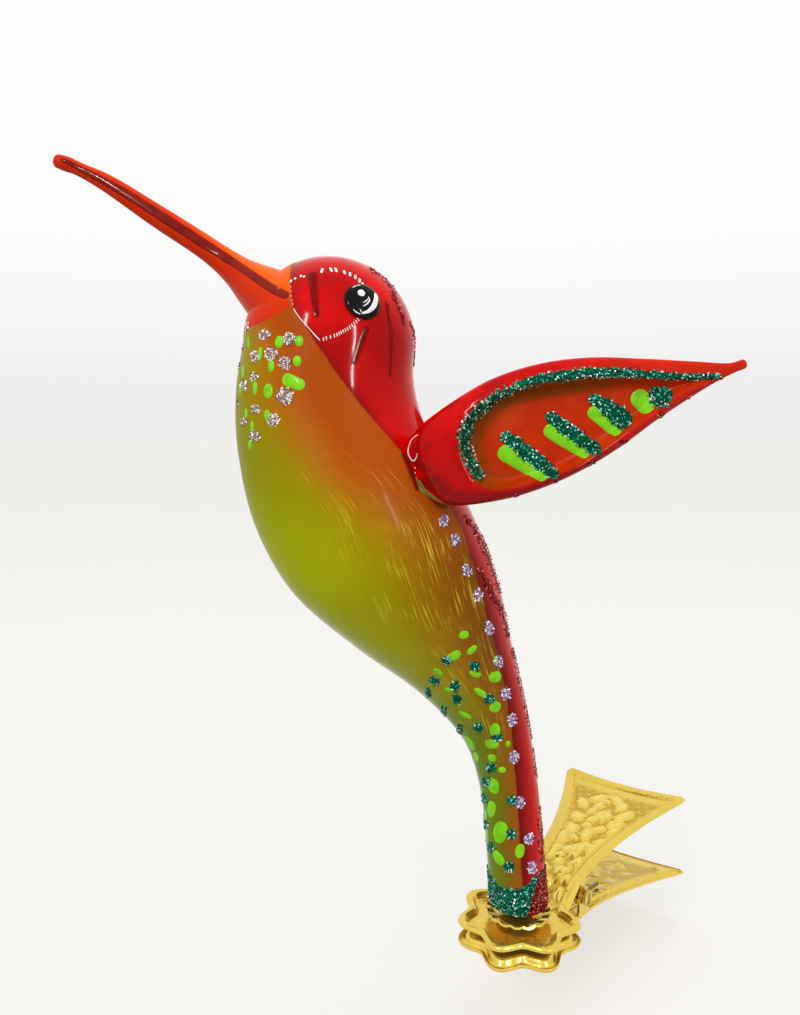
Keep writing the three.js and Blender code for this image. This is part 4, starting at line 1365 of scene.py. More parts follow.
SILVER_DOTS = [
    (265, 335, 6), (289, 339, 7), (247, 327, 5), (242, 347, 5), (255, 357, 6), (271, 354, 7),
    (285, 363, 7), (254, 377, 5), (244, 385, 6), (285, 396, 9), (256, 409, 5), (273, 420, 7),
    (244, 421, 5), (255, 436, 6), (239, 365, 4), (237.5, 403, 4),
]
LILAC_DOTS = [
    (444, 521), (455, 540), (467, 570), (478, 595), (489, 628), (498, 661), (506, 694), (512, 720),
    (514, 757), (520, 802), (529, 839), (532, 867),
]
TEAL_DOTS = [
    (447, 660), (475, 666), (434, 681), (455, 686), (489, 699), (457, 699), (428, 693), (478, 727),
    (497, 738), (491, 768), (512, 800), (485, 798), (511, 834), (491, 847), (509, 867), (444, 711),
    (487, 782), (460, 729), (486, 824),
]
BACK_STROKES = [
    [(463, 515), (480, 537), (489, 559), (500, 593)],
    [(478, 567), (491, 591), (502, 611), (508, 637)],
    [(513, 648), (522, 684), (529, 716), (534, 738)],
    [(535, 748), (537, 762), (538, 778)],
    [(541, 806), (542, 836), (543, 862)],
]
HEAD_WAVE = [
    (368, 264), (374, 270), (378, 274), (384, 277), (389, 284), (393, 291), (396, 300), (400, 312),
    (404, 324),
]
HEAD_BACK = [(410, 322), (414, 335), (415, 350), (415, 366)]
FEATHERS = [
    ([(311.5, 271), (314, 290), (317, 319)], [14, 12, 7]),
    ([(368, 326), (361, 343), (352, 365)], [8, 11, 11]),
    ([(386, 300), (391, 337), (390, 378)], [7, 6, 5]),
    ([(402, 452), (411, 470), (418, 492)], [8, 12, 8]),
]
# The eye's crescent, its glint, which is a painted highlight, and the fine rings round the pupil
EYE_LIGHTS = [
    ([(361, 313.5), (368, 311.5), (374, 306), (376.3, 298), (374.5, 290), (370, 286)],
     [1.5, 4, 6.5, 6.5, 4, 1]),
    ([(357.5, 290.5), (361, 292.5), (365.5, 295)], [8, 10, 7]),
    ([(352, 288), (356, 285.8), (361, 285)], [0.8, 1.3, 0.8]),
    ([(353, 309), (356, 312), (361, 314.6)], [0.8, 1.5, 1.0]),
    ([(368, 296), (369.5, 300), (367, 304), (362, 306.5)], [1.0, 1.8, 1.6, 0.8]),
    ([(363, 303), (366, 301), (368, 298.5)], [0.8, 1.4, 0.8]),
]
FACE_LINE = [(293, 308), (299, 317), (306, 325), (313, 333), (320.5, 341)]
FACE_DOTS = [(290.5, 282), (290.5, 287), (291, 291), (291, 296), (291.5, 300), (292.5, 304)]
# Dashes over the eye: place, length, lean in degrees
FACE_TOP = [
    (291, 281, 3, 15), (295, 278.6, 2.4, 15), (301, 276, 2.6, 15), (304, 276.6, 2.2, 15),
    (322, 270.6, 5.4, 15), (331, 269.6, 5, -25), (336, 269.8, 5, -19), (344.5, 272.2, 4.4, -13),
    (350, 274.3, 4.4, -7), (355.5, 277, 4.4, -1), (359.7, 280.5, 4.2, 5), (362.6, 284, 3.6, 11),
]
# Line of the dashes under the eye
FACE_BOTTOM = [(361, 316), (356, 322), (349, 328), (342, 332), (335, 335.5), (323.5, 339)]
BOTTOM_DASHES = 17
# A painted highlight in white: the loop and the dots where the wing's root meets the body
WING_ROOT_HIGHLIGHT = [
    (419, 434), (413, 438), (409.5, 444), (408, 451), (409.5, 457), (413, 461), (416, 458),
    (417.5, 452),
]
WING_ROOT_HIGHLIGHT_DOTS = [(415, 468), (415, 473), (416, 478)]
WORN_PATCH = [(418, 478), (423, 489), (432, 497), (446, 505)]
WORN_STROKES = 12
BEAK_STRIPE = [
    (60, 158.5), (73, 165), (100, 179), (130, 196), (165, 218.5), (200, 241), (222, 255),
    (243, 268.5), (262, 282), (275, 290), (289, 297),
]


def finish_paint(coat, name, material):
    """Makes one piece of brushed paint."""
    piece = coat.piece(name, "middle")
    soften(piece, 50)
    dress(piece, material)


class ORNAMENT_OT_paint(bpy.types.Operator):
    """Lay the lime dabs, the dark feather strokes, the beak's stripe, the fine enamel lines and the
    painted white highlights
    """

    bl_idname = "ornament.paint"
    bl_label = "Brushed paint"

    def execute(self, context):
        paint = context.scene.ornament_paint
        thick, thin = paint.rise * MM, paint.thin_rise * MM
        lime = Coat()
        for x, y, width, height, turn in LIME_DOTS:
            dab(lime, "body", x, y, width, height, thick, turn)
        stroke(lime, "body", LIME_BEAN, [16, 13, 12], thick)
        for x, y, width, height, turn in TAIL_DABS:
            dab(lime, "body", x, y, width, height, thick * 0.7, turn)
        for path, widths in WING_BARS:
            stroke(lime, "wing", path, widths, thick)
        material = paint_material("lime paint", paint.lime, shade(112, 196, 20))
        finish_paint(lime, "lime_paint", material)

        feathers = Coat()
        for path, widths in FEATHERS:
            stroke(feathers, "body", path, widths, thin)
        dark = soft_paint_material("feather red", shade(128, 0, 2), shade(104, 0, 2), 0.8, 0.75)
        finish_paint(feathers, "feather_strokes", dark)

        stripe = Coat()
        widths = [4, 7, 10, 12, 12.5, 12.5, 12, 11, 11, 11.5, 9]
        stroke(stripe, "beak_root", BEAK_STRIPE, widths, thin)
        brown = soft_paint_material("beak stripe", shade(138, 20, 4), shade(116, 14, 4), 0.3, 0.92)
        finish_paint(stripe, "beak_stripes", brown)

        white = Coat()
        self.draw_face(white, thin)
        # the painted highlight at the wing's root
        stroke(white, "wing_root", WING_ROOT_HIGHLIGHT, [1.1, 1.5, 1.1, 1.7, 1.2, 1.6, 1.2, 0.9], thin)
        for x, y in WING_ROOT_HIGHLIGHT_DOTS:
            dab(white, "wing_root", x, y, 1.4, 1.8, thin)
        # the eye's lights, with its glint as a painted highlight
        for path, widths in EYE_LIGHTS:
            stroke(white, "eye", path, widths, thin)
        material = paint_material("white enamel and highlights", paint.white, shade(228, 226, 222))
        finish_paint(white, "white_enamel_and_highlights", material)

        worn = Coat()
        for _ in range(WORN_STROKES):
            off = DRAW.uniform(-7, 7)
            path = [(x + off * 0.5, y + off * 0.3) for x, y in WORN_PATCH]
            start = DRAW.uniform(0, 0.4)
            part = [spline(path, start + (1 - start) * i / 3) for i in range(4)]
            stroke(worn, "wing_root", part, [2, 6.5, 6, 2], thin * 0.8)
        olive = soft_paint_material(
            "worn lacquer", shade(142, 132, 62), shade(108, 88, 34), 0.4, 0.9
        )
        finish_paint(worn, "worn_patches", olive)
        return {"FINISHED"}

    def draw_face(self, white, thin):
        stroke(white, "body", FACE_LINE, [0.8, 1.1, 0.8, 1.2, 1.3], thin)
        for x, y in FACE_DOTS:
            dab(white, "body", x, y, 1.0, 1.4, thin)
        for x, y, size, lean in FACE_TOP:
            dash(white, x, y, size, lean, [2.4, 3.0, 2.4], thin)
        for number in range(BOTTOM_DASHES):
            share = number / (BOTTOM_DASHES - 1)
            x, y = spline(FACE_BOTTOM, share)
            dash(white, x, y, 4.2, 30 * share - 35, [1.1, 1.3, 1.1], thin)


def band_spots(wanted, spread):
    """Places round the tail's foot for one of the band's two colours."""
    area = math.pi * TAIL_RADIUS * (11 - TAIL_FOOT)
    spots = []
    for _ in range(int(area * spread)):
        turn = DRAW.uniform(0, 180)
        level = DRAW.uniform(TAIL_FOOT, 12.7)
        if level > np.interp(turn, *zip(*BAND_TOP)) + DRAW.normal(0, 0.12):
            continue
        split = SPLIT_FROM + SPLIT_LEAN * (level - TAIL_FOOT) / SPLIT_RISE + DRAW.normal(0, 1.0)
        if (turn > split) != (wanted == "red"):
            continue
        angle = math.radians(turn)
        beside = Vector((-math.cos(angle) * 6.2, -math.sin(angle) * 6.2, level)) * MM
        spot, normal, _, _ = SURFACES["body"].find_nearest(beside)
        spots.append((spot, normal))
    return spots


# How metallic each glitter is, and the colours of its flakes, one picked at random for each flake: the
# darkest stand in for painted shade, the palest up to white are painted glints
GLITTERS = {
    "teal": (0.3, [
        (0.0, shade(2, 40, 31)), (0.3, shade(4, 84, 62)), (0.58, shade(10, 126, 96)),
        (0.78, shade(40, 176, 142)), (0.89, shade(150, 238, 214)), (0.95, shade(250, 255, 252)),
    ]),
    "silver": (0.0, [
        (0.0, shade(88, 62, 56)), (0.26, shade(150, 116, 106)), (0.36, shade(232, 206, 200)),
        (0.5, shade(212, 240, 214)), (0.6, shade(255, 252, 248)), (0.8, shade(255, 255, 255)),
    ]),
    "lilac": (0.0, [
        (0.0, shade(84, 58, 84)), (0.28, shade(146, 116, 158)), (0.5, shade(200, 180, 218)),
        (0.7, shade(236, 232, 248)), (0.85, shade(255, 255, 255)),
    ]),
    "red": (0.3, [
        (0.0, shade(70, 4, 4)), (0.4, shade(124, 12, 10)), (0.75, shade(176, 36, 28)),
        (0.95, shade(244, 150, 130)),
    ]),
}


class ORNAMENT_OT_glitter(bpy.types.Operator):
    """Strew teal, silver, lilac and dark red glitter"""

    bl_idname = "ornament.glitter"
    bl_label = "Glitter"

    def execute(self, context):
        glitter = context.scene.ornament_glitter
        coats = {name: Coat() for name in GLITTERS}
        teal, silver, lilac, red = coats.values()
        arc_widths = [12, 14, 15, 15, 14, 13, 12, 12, 12, 11, 10, 9, 8, 6]
        strewn_stroke(teal, "wing", WING_ARC, arc_widths, glitter)
        for path, widths in WING_GLITTER_BARS:
            strewn_stroke(teal, "wing", path, widths, glitter, lift=OVER_LIME)
        strewn_dot(teal, "wing", 660, 397, 13, glitter, lift=OVER_LIME)
        for x, y in TEAL_DOTS:
            strewn_dot(teal, "body", x, y, 5.8, glitter)
        strew(teal, band_spots("teal", glitter.spread), glitter.flake)
        for x, y, radius in SILVER_DOTS:
            strewn_dot(silver, "body", x, y, radius, glitter)
        for x, y in LILAC_DOTS:
            strewn_dot(lilac, "body", x, y, 5.4, glitter, 1.3)
        for path in BACK_STROKES:
            strewn_stroke(red, "body", path, [4.5, 8, 8, 5], glitter)
        strewn_stroke(red, "body", HEAD_WAVE, [5, 7, 5, 8, 5, 7, 6, 4, 3], glitter)
        strewn_stroke(red, "body", HEAD_BACK, [3, 4, 5, 3], glitter)
        for x, y in RED_CLUMPS:
            strewn_dot(red, "wing", x, y - 1.5, 6.5, glitter, 0.6)
        strew(red, band_spots("red", glitter.spread), glitter.flake)
        for name, coat in coats.items():
            piece = coat.piece(f"{name}_glitter", "flake")
            dress(piece, glitter_material(f"{name} glitter", *GLITTERS[name]))
        return {"FINISHED"}


# Clip: sizes in mm, in the clip's own directions (handle along +X, rim upwards)

CLIP_TURN = math.radians(52.5)
PETALS, PETAL_TURN = 7, math.radians(34.5)
FLOWER_RADIUS, PETAL_RISE = 10.4, 1.05
NECK_HALF, NECK_START, NECK_BEND, NECK_TOP, NECK_LIFT = 6.4, 4.5, 8.5, 15.5, 3.1
HANDLE_REACH, HANDLE_HALF, HANDLE_FLARE = 54.5, 15.8, 1.8
HANDLE_ANGLE = math.radians(9)
HANDLE_SLOPE = math.tan(HANDLE_ANGLE)
HANDLE_ROWS, HANDLE_COLUMNS = 190, 100
END_SAG, BORDER_WIDTH, BORDER_HEIGHT = 2.0, 2.4, 0.7
TIP_ROUND = 2.6  # the handle's tips are rounded to this radius
PIN_AT, PIN_HEIGHT, JAW_GAP, JAW_PARTED = 16.5, -0.15, 0.3, math.radians(2.5)
EARS = {"upper": 5.3, "lower": 6.2}  # how far each half's ears stand from the middle
EAR_HOLE, EAR_RADIUS, EAR_ROOT_HALF, EAR_HALF, EAR_SIDES = 1.2, 1.9, 2.35, 0.25, 56
SHEET_MIDDLE = 0.3  # level of the middle of a flat sheet
DISH_COLUMNS = 196
HUB, HUB_START, HUB_END = 0.6, 2.6, 3.6  # the raised middle of the upper flower: height, and slope
NECK_SIDE_START, NECK_SIDE_END = math.radians(27), math.radians(35)  # where its rim has an opening
# The dish's floor, as shares of the way out to its wall
DISH_FLOOR = (0.15, 0.3, 0.5, 0.7, 0.9)
# The middle of the dish's sheet: distance from the rim's middle line, and height
DISH = [
    (-2.6, 0.3), (-1.9, 0.3), (-1.45, 0.36), (-1.15, 0.62), (-0.95, 0.95), (-0.72, 1.28),
    (-0.42, 1.53), (-0.05, 1.63), (0.3, 1.52), (0.48, 1.24), (0.4, 0.98),
]
# the hollows' darker gold is painted shade, the tops' paler gold a painted highlight
HOLLOW = 0.5  # stamped height at which the brass changes from dark hollow to bright top
BERRY_EDGE = 1.7  # square of a berry's reach, in its half lengths and widths
# Stamped berries and leaves: along, across, half length, half width, turn, pit
BERRIES = [
    (35.7, 4.2, 2.0, 1.8, 0, 1), (38.6, -1.0, 2.2, 1.9, 0, 1), (36.3, -4.8, 2.1, 1.8, 0, 1),
    (16.6, -1.2, 1.7, 1.5, 0, 1), (14.6, -3.6, 1.5, 1.3, 0, 1), (27.1, 4.3, 2.6, 2.1, 20, 0),
    (36.0, 0.6, 1.5, 1.2, 0, 0), (44.6, 2.8, 2.8, 1.2, -40, 0), (46.2, -1.0, 2.9, 1.2, 35, 0),
    (41.2, 5.4, 2.3, 1.3, 30, 0), (30.4, -0.5, 2.8, 1.2, 15, 0), (33.1, -2.2, 2.0, 1.1, -30, 0),
    (22.7, 3.6, 2.2, 1.4, -20, 0), (31.0, 3.4, 2.2, 1.5, 25, 0), (19.8, 3.4, 1.6, 1.2, 0, 0),
    (15.8, 2.4, 1.8, 1.3, 20, 0), (18.8, 0.6, 1.4, 1.1, 0, 0), (20.4, -2.9, 2.4, 1.2, -15, 0),
    (24.7, -4.4, 2.6, 1.3, 25, 0), (24.9, -1.0, 2.2, 1.5, -10, 0), (28.4, -4.6, 2.2, 1.4, 10, 0),
    (41.0, -5.4, 2.4, 1.4, -25, 0), (43.6, -3.4, 2.0, 1.1, 0, 0), (31.5, -6.0, 1.8, 1.1, 30, 0),
    (23.6, 0.9, 1.3, 1.0, 0, 0), (41.8, 1.6, 1.8, 1.2, 0, 0), (12.4, 0.2, 1.6, 1.1, 0, 0),
    (11.2, -3.2, 1.4, 1.0, 0, 0), (11.0, 2.8, 1.4, 1.0, 0, 0), (34.0, 7.2, 1.6, 1.0, 20, 0),
    (39.0, 2.2, 1.3, 0.9, 0, 0), (38.6, -4.4, 1.4, 0.9, 50, 0), (33.6, -5.2, 1.4, 0.9, -60, 0),
    (28.0, 1.4, 1.3, 0.8, 40, 0), (26.6, -2.6, 1.4, 0.9, 70, 0), (22.2, -1.0, 1.2, 0.8, 50, 0),
    (17.6, -4.6, 1.2, 0.8, 0, 0), (13.4, 2.6, 1.1, 0.8, 60, 0), (30.4, 6.0, 1.3, 0.8, -20, 0),
    (44.0, 0.6, 1.2, 0.8, 80, 0), (21.0, 1.6, 1.1, 0.8, -40, 0), (33.4, 1.0, 1.2, 0.8, 90, 0),
]


def petal(angle, hand):
    """Reach of the flower's rim; the lower flower is turned over and has the other hand."""
    return FLOWER_RADIUS + PETAL_RISE * math.cos(PETALS * (angle - hand * PETAL_TURN))


def sheet_lift(along):
    """Level of the sheet along the neck and the sloping handle."""
    bend = float(smoothstep(along, NECK_BEND, NECK_TOP)) * NECK_LIFT
    return bend + max(along - NECK_TOP, 0) * HANDLE_SLOPE


def handle_half(along):
    """Half the handle's width, which flares to its fishtail end."""
    share = max(along - PIN_AT, 0) / (HANDLE_REACH - PIN_AT)
    return NECK_HALF + (HANDLE_HALF - NECK_HALF) * share ** HANDLE_FLARE


def uneven(u, v):
    """The ground between the stamped marks, from about -1.7 to 1.7."""
    coarse = math.sin(u * 1.9 + math.sin(v * 1.3)) * math.sin(v * 2.1 + u * 0.4)
    fine = 0.7 * math.sin(u * 3.7 + 2 * math.sin(v * 0.9)) * math.sin(v * 3.3 - u * 0.8)
    return coarse + fine


def stamped(along, across, height):
    """Height of the stamped berries, leaves and ground."""
    total = 0.0
    for u, v, reach, width, turn, pit in BERRIES:
        angle = math.radians(turn)
        du, dv = along - u, across - v
        a = (du * math.cos(angle) + dv * math.sin(angle)) / reach
        b = (dv * math.cos(angle) - du * math.sin(angle)) / width
        far = a * a + b * b
        if far < BERRY_EDGE:
            total += height * math.cos(math.pi / 2 * math.sqrt(far / BERRY_EDGE)) ** 1.6
            if pit:
                total -= 0.7 * height * math.exp(-(du * du + dv * dv) / 0.09)
    return min(total, height * 1.35) + uneven(along, across) * height * 0.17


def dish(hand, raised):
    """The flower-shaped jaw: floor, wall and rolled rim, flat where the neck leaves it."""
    angles = turns_of(DISH_COLUMNS)

    def spot(angle, reach, level):
        return Vector((reach * math.cos(angle), reach * math.sin(angle), level)) * MM

    rings = []
    for share in DISH_FLOOR:
        ring = []
        for angle in angles:
            reach = (petal(angle, hand) + DISH[0][0]) * share
            hub = HUB * (1 - float(smoothstep(reach, HUB_START, HUB_END))) if raised else 0
            ring.append(spot(angle, reach, SHEET_MIDDLE + hub))
        rings.append(ring)
    for offset, height in (spline(DISH, i / 24) for i in range(25)):
        ring = []
        for angle in angles:
            beside = min(angle, 2 * math.pi - angle)
            opened = float(smoothstep(beside, NECK_SIDE_START, NECK_SIDE_END))
            reach = petal(angle, hand) + offset
            flat = min(reach, 7.4 + 0.05 * offset)
            reach = flat + (reach - flat) * opened
            ring.append(spot(angle, reach, 0.28 + (height - 0.28) * opened))
        rings.append(ring)
    return rings


def handle_sheet(name, emboss):
    """The fishtail handle with its neck, raised border and stamped berries."""
    heights = []

    def place(share, side):
        reach = NECK_START + (HANDLE_REACH - NECK_START) * share
        from_end = HANDLE_REACH - reach
        rounding = max(TIP_ROUND - from_end, 0)
        cut = TIP_ROUND - math.sqrt(TIP_ROUND ** 2 - rounding ** 2)
        half = handle_half(reach) - cut
        across = (2 * side - 1) * half
        along = reach - END_SAG * share ** 3 * (1 - (across / HANDLE_HALF) ** 2)
        from_side = half - abs(across)
        # the border: a bead that starts on the neck and is higher there
        on_neck = 1 - float(smoothstep(reach, NECK_BEND, NECK_TOP))
        started = float(smoothstep(reach, NECK_START + 1.5, NECK_BEND + 0.5))
        gap = min(from_side, from_end) + 0.1
        bead = math.sin(math.pi * min(gap / BORDER_WIDTH, 1)) ** 0.8 if gap < BORDER_WIDTH else 0.0
        beside = started * (1 + 0.45 * on_neck) if from_side < from_end else 1.0
        raised = BORDER_HEIGHT * bead * beside
        # the field inside it, which has the berries
        inwards = min(from_side, from_end + 1.5)
        field = float(smoothstep(inwards, BORDER_WIDTH - 0.4, BORDER_WIDTH + 1.0))
        field *= float(smoothstep(reach, NECK_BEND - 1, NECK_BEND + 1))
        field *= float(smoothstep(from_end, 4, 7))
        marks = stamped(along, across, emboss) * field
        heights.append((marks / HOLLOW - 0.45) * field)
        level = sheet_lift(along) + SHEET_MIDDLE + raised + marks - 0.05 * (1 - started)
        return Vector((along, across, level)) * MM

    sheet = laid(name, HANDLE_ROWS, HANDLE_COLUMNS, place)
    keep_values(sheet.data, "raised", heights)
    return sheet


def ear_plate(name, across):
    """A hinge ear: a round plate with a hole, whose root goes up into the sheet."""
    root = sheet_lift(PIN_AT) + 0.7 - PIN_HEIGHT

    def edge(x, z):
        if z <= 0:
            return EAR_RADIUS
        reach = min(EAR_ROOT_HALF / max(abs(x), 1e-6), root / max(z, 1e-6))
        return max(reach, EAR_RADIUS)

    rings = []
    for hole, shift in ((True, -EAR_HALF), (False, -EAR_HALF), (False, EAR_HALF), (True, EAR_HALF)):
        ring = []
        for angle in turns_of(EAR_SIDES):
            x, z = math.cos(angle), math.sin(angle)
            reach = EAR_HOLE if hole else edge(x, z)
            spot = (PIN_AT + reach * x, across + shift, PIN_HEIGHT + reach * z)
            ring.append(Vector(spot) * MM)
        rings.append(ring)
    return ringed(name, rings, looped=True)


def brass_material(name, clip, amount, scale=110.0, rough=0.2):
    """Brass with a painted highlight on raised marks and painted shade in hollows, under the amount of
    brown film.
    """
    material, tree, shader, place = new_material(name)
    film = use_group(tree, patina, Vector=place, Scale=scale, Amount=amount)
    warm = blend_colour(tree, noise(tree, place, 60.0, 2.0), clip.brass, shade(220, 188, 76))
    raised = attribute(tree, "raised")
    # painted shade: darker gold in the hollows between the stamped marks
    painted_hollow_shade = times(tree, fade(tree, times(tree, raised, -1.0), 0.0, 0.45), 0.85)
    warm = blend_colour(tree, painted_hollow_shade, warm, shade(196, 158, 50))
    # painted highlight: paler gold on the tops of the marks
    top = times(tree, fade(tree, raised, 0.0, 0.9), 0.45)
    warm = blend_colour(tree, top, warm, shade(255, 236, 140))
    return metal_finish(
        (material, tree, shader), film, warm, clip.tarnish, 0.88, (0.35, rough), (0.0004, 0.5)
    )


def metal_material(name, bright, dull, rough):
    """Plain metal under a fine film."""
    material, tree, shader, place = new_material(name)
    film = use_group(tree, patina, Vector=place, Scale=260.0, Amount=0.7)
    return metal_finish(
        (material, tree, shader), film, bright, dull, 0.9, (0.3, rough), (0.0001, 0.4)
    )


def metal_finish(look, film, bright, dull, metal, rough, bumps):
    """Lays the film over the metal: rough is its own share and the bare metal's roughness."""
    material, tree, shader = look
    feed(tree, shader, {
        "Base Color": blend_colour(tree, film["Mask"], bright, dull),
        "Metallic": metal,
        "Roughness": scaled(tree, film["Mask"], *rough),
    })
    raise_surface(tree, shader, film["Height"], *bumps)
    return material


def clip_matrix(which):
    """Where a half of the clip lies; the lower one is turned over and swung about the pin."""
    turn = Matrix.Rotation(CLIP_TURN, 4, "Z")
    if which == "upper":
        return turn
    pin = Matrix.Translation(Vector((PIN_AT, 0, PIN_HEIGHT)) * MM)
    back = Matrix.Translation(Vector((-PIN_AT, 0, -JAW_GAP - PIN_HEIGHT)) * MM)
    swung = Matrix.Rotation(-JAW_PARTED, 4, "Y")
    return turn @ pin @ swung @ back @ Matrix.Rotation(math.pi, 4, "X")


# Each half: its hand, the share of the stamping's height that it has, and its brown film
HALVES = {"upper": (1, 1, 0.3), "lower": (-1, 0.3, 0.72)}


class ORNAMENT_OT_clip(bpy.types.Operator):
    """Stamp both halves of the clip: flower jaw, neck, ears and fishtail handle"""

    bl_idname = "ornament.clip"
    bl_label = "Clip halves"

    def execute(self, context):
        clip = context.scene.ornament_clip
        for which, (hand, depth, film) in HALVES.items():
            flower = open_rings(f"{which}_flower", dish(hand, which == "upper"))
            thicken(flower, clip.sheet * MM)
            sheet = handle_sheet(f"{which}_handle", clip.emboss * depth)
            thicken(sheet, clip.sheet * MM)
            ears = [ear_plate(f"{which}_ear", side * EARS[which]) for side in (-1, 1)]
            piece = join([flower, sheet, *ears], f"{which}_stamping")
            moved(piece, clip_matrix(which))
            soften(piece, 45)
            brass = brass_material(f"{which} brass", clip, film)
            dress(piece, brass, f"{which}_jaw", replaces=[f"{which}_clip_half"])
        return {"FINISHED"}


# Springs: radius of the coil, then its pitch or half its width, its turns, its foot or its leg
TAIL_COIL, TAIL_PITCH, TAIL_TURNS, TAIL_BOTTOM = 3.2, 1.75, 6, 2.55
HINGE_COIL, HINGE_HALF, HINGE_TURNS, HINGE_LEG = 1.8, 3.5, 5, 14.0
LEG_STEPS = 8


def tube_rings(points, radius, sides):
    """Rings along a line of points, without twist."""
    rings, across = [], None
    for number, point in enumerate(points):
        before, after = points[max(number - 1, 0)], points[min(number + 1, len(points) - 1)]
        run = (after - before).normalized()
        if across is None:
            across = run.orthogonal().normalized()
        across = (across - run * across.dot(run)).normalized()
        up = run.cross(across)
        rings.append([
            (point + across * (radius * math.cos(angle)) + up * (radius * math.sin(angle))) * MM
            for angle in turns_of(sides)
        ])
    return rings


def tail_line(steps):
    """Middle line of the spring in the tail."""
    line = []
    for i in range(steps * TAIL_TURNS + 1):
        angle = 2 * math.pi * i / steps
        level = TAIL_BOTTOM + TAIL_PITCH * i / steps
        line.append(Vector((TAIL_COIL * math.cos(angle), TAIL_COIL * math.sin(angle), level)))
    return line


def hinge_line(steps, wire):
    """Middle line of the hinge spring: a leg under each handle, and the coil round the pin."""
    over_pin = NECK_LIFT + (PIN_AT - NECK_TOP) * math.tan(HANDLE_ANGLE) - PIN_HEIGHT
    clear_by = over_pin * math.cos(HANDLE_ANGLE) - SHEET_MIDDLE - wire
    spread = math.asin(clear_by / math.hypot(HINGE_COIL, HINGE_LEG))
    upper = HANDLE_ANGLE + (spread - math.atan(HINGE_COIL / HINGE_LEG))
    lower = JAW_PARTED - upper
    start, stop = lower - math.pi / 2, upper + math.pi / 2 - 2 * math.pi * HINGE_TURNS

    def at(angle, across, direction=0.0, out=0.0):
        return Vector((
            PIN_AT + HINGE_COIL * math.cos(angle) + out * math.cos(direction),
            across,
            PIN_HEIGHT + HINGE_COIL * math.sin(angle) + out * math.sin(direction),
        ))

    outs = [HINGE_LEG * i / LEG_STEPS for i in range(1, LEG_STEPS + 1)]
    line = [at(start, -HINGE_HALF, lower, out) for out in reversed(outs)]
    count = steps * HINGE_TURNS
    for i in range(count + 1):
        share = i / count
        line.append(at(start + (stop - start) * share, HINGE_HALF * (2 * share - 1)))
    return line + [at(stop, HINGE_HALF, upper, out) for out in outs]


class ORNAMENT_OT_springs(bpy.types.Operator):
    """Wind the spring in the tail and the spring on the hinge pin"""

    bl_idname = "ornament.springs"
    bl_label = "Springs"

    steps: IntProperty(name="Steps", description="Rings in each turn of wire", default=28, min=12)
    sides: IntProperty(name="Sides", description="Faces round the wire", default=10, min=6)
    wire: FloatProperty(name="Wire", description="Half the wire's thickness in mm", default=0.4)

    def execute(self, context):
        piece = ringed("tail_spring", tube_rings(tail_line(self.steps), self.wire, self.sides))
        tidy_faces(piece, 60)
        copper = metal_material("spring copper", shade(150, 92, 52), shade(70, 38, 20), 0.3)
        dress(piece, copper, "coil", replaces=["anchor_spring"])

        line = hinge_line(self.steps, self.wire)
        piece = ringed("hinge_spring", tube_rings(line, self.wire, self.sides))
        place = clip_matrix("upper")
        moved(piece, place)
        tidy_faces(piece, 60)
        steel = metal_material("spring steel", shade(130, 110, 70), shade(70, 52, 28), 0.3)
        dress(piece, steel, None, replaces=["torsion_spring"])
        start, end = (
            tuple(place @ (Vector((PIN_AT, side * HINGE_HALF, PIN_HEIGHT)) * MM))
            for side in (1, -1)
        )
        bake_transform(piece)
        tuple(start)
        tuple(end)
        return {"FINISHED"}


class ORNAMENT_OT_fittings(bpy.types.Operator):
    """Finish the crown, rivet and hinge pin that come from the frame"""

    bl_idname = "ornament.fittings"
    bl_label = "Crown, rivet and pin"

    def execute(self, context):
        clip = context.scene.ornament_clip
        looks = {
            "seat_crown": brass_material("crown brass", clip, 0.35, 300.0, 0.14),
            "seat_rivet": metal_material("rivet copper", shade(168, 102, 58), shade(80, 44, 24), 0.25),
            "hinge_pin": brass_material("pin brass", clip, 0.9, 300.0, 0.3),
        }
        for node, material in looks.items():
            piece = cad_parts[node]
            piece.data.materials.clear()
            piece.data.materials.append(material)
        return {"FINISHED"}


JAW_DROP = 10.5 * MM  # how far the lower jaw swings down when it opens
FLOOR_LEVEL = CAD_BOX[0][2] - JAW_DROP
FAR_FLOOR, HIGH_WALL = 0.845, 0.98  # brightness where the surround meets the floor, and higher up
AIM = Vector((-0.02, 0, 0.07))  # where the lamps are turned to
# Lamps: place, size, share of the key lamp's power
LAMPS = {
    "key": ((-0.35, -0.55, 0.6), 0.5, 1.0),
    "fill": ((0.6, -0.4, 0.3), 0.4, 0.4),
    "overhead": ((0.12, 0.12, 0.8), 0.22, 0.35),
}
# Narrow window panes that only the gloss shows, for the glints
PANES = {"left pane": (-0.3, -0.55, 0.38), "right pane": (0.34, -0.6, 0.26)}
PANE_WIDTH, PANE_HEIGHT = 0.035, 0.16


def background_rays(tree):
    """1 for rays that show the background: the camera's own, and those off gloss and through glass."""
    path = add(tree, "ShaderNodeLightPath").outputs
    seen = calc(tree, "MAXIMUM", path["Is Camera Ray"], path["Is Transmission Ray"])
    return calc(tree, "MAXIMUM", seen, path["Is Glossy Ray"])


def area_lamp(name, spot, power, width, height=None):
    """A lamp turned to the ornament: square, or as high as is said."""
    clear()
    bpy.ops.object.light_add(type="AREA", location=spot)
    lamp = bpy.context.object
    lamp.name = name
    lamp.data.energy = power
    lamp.data.size = width
    if height:
        lamp.data.shape = "RECTANGLE"
        lamp.data.size_y = height
    lamp.rotation_euler = (AIM - Vector(spot)).to_track_quat("-Z", "Y").to_euler()
    return lamp


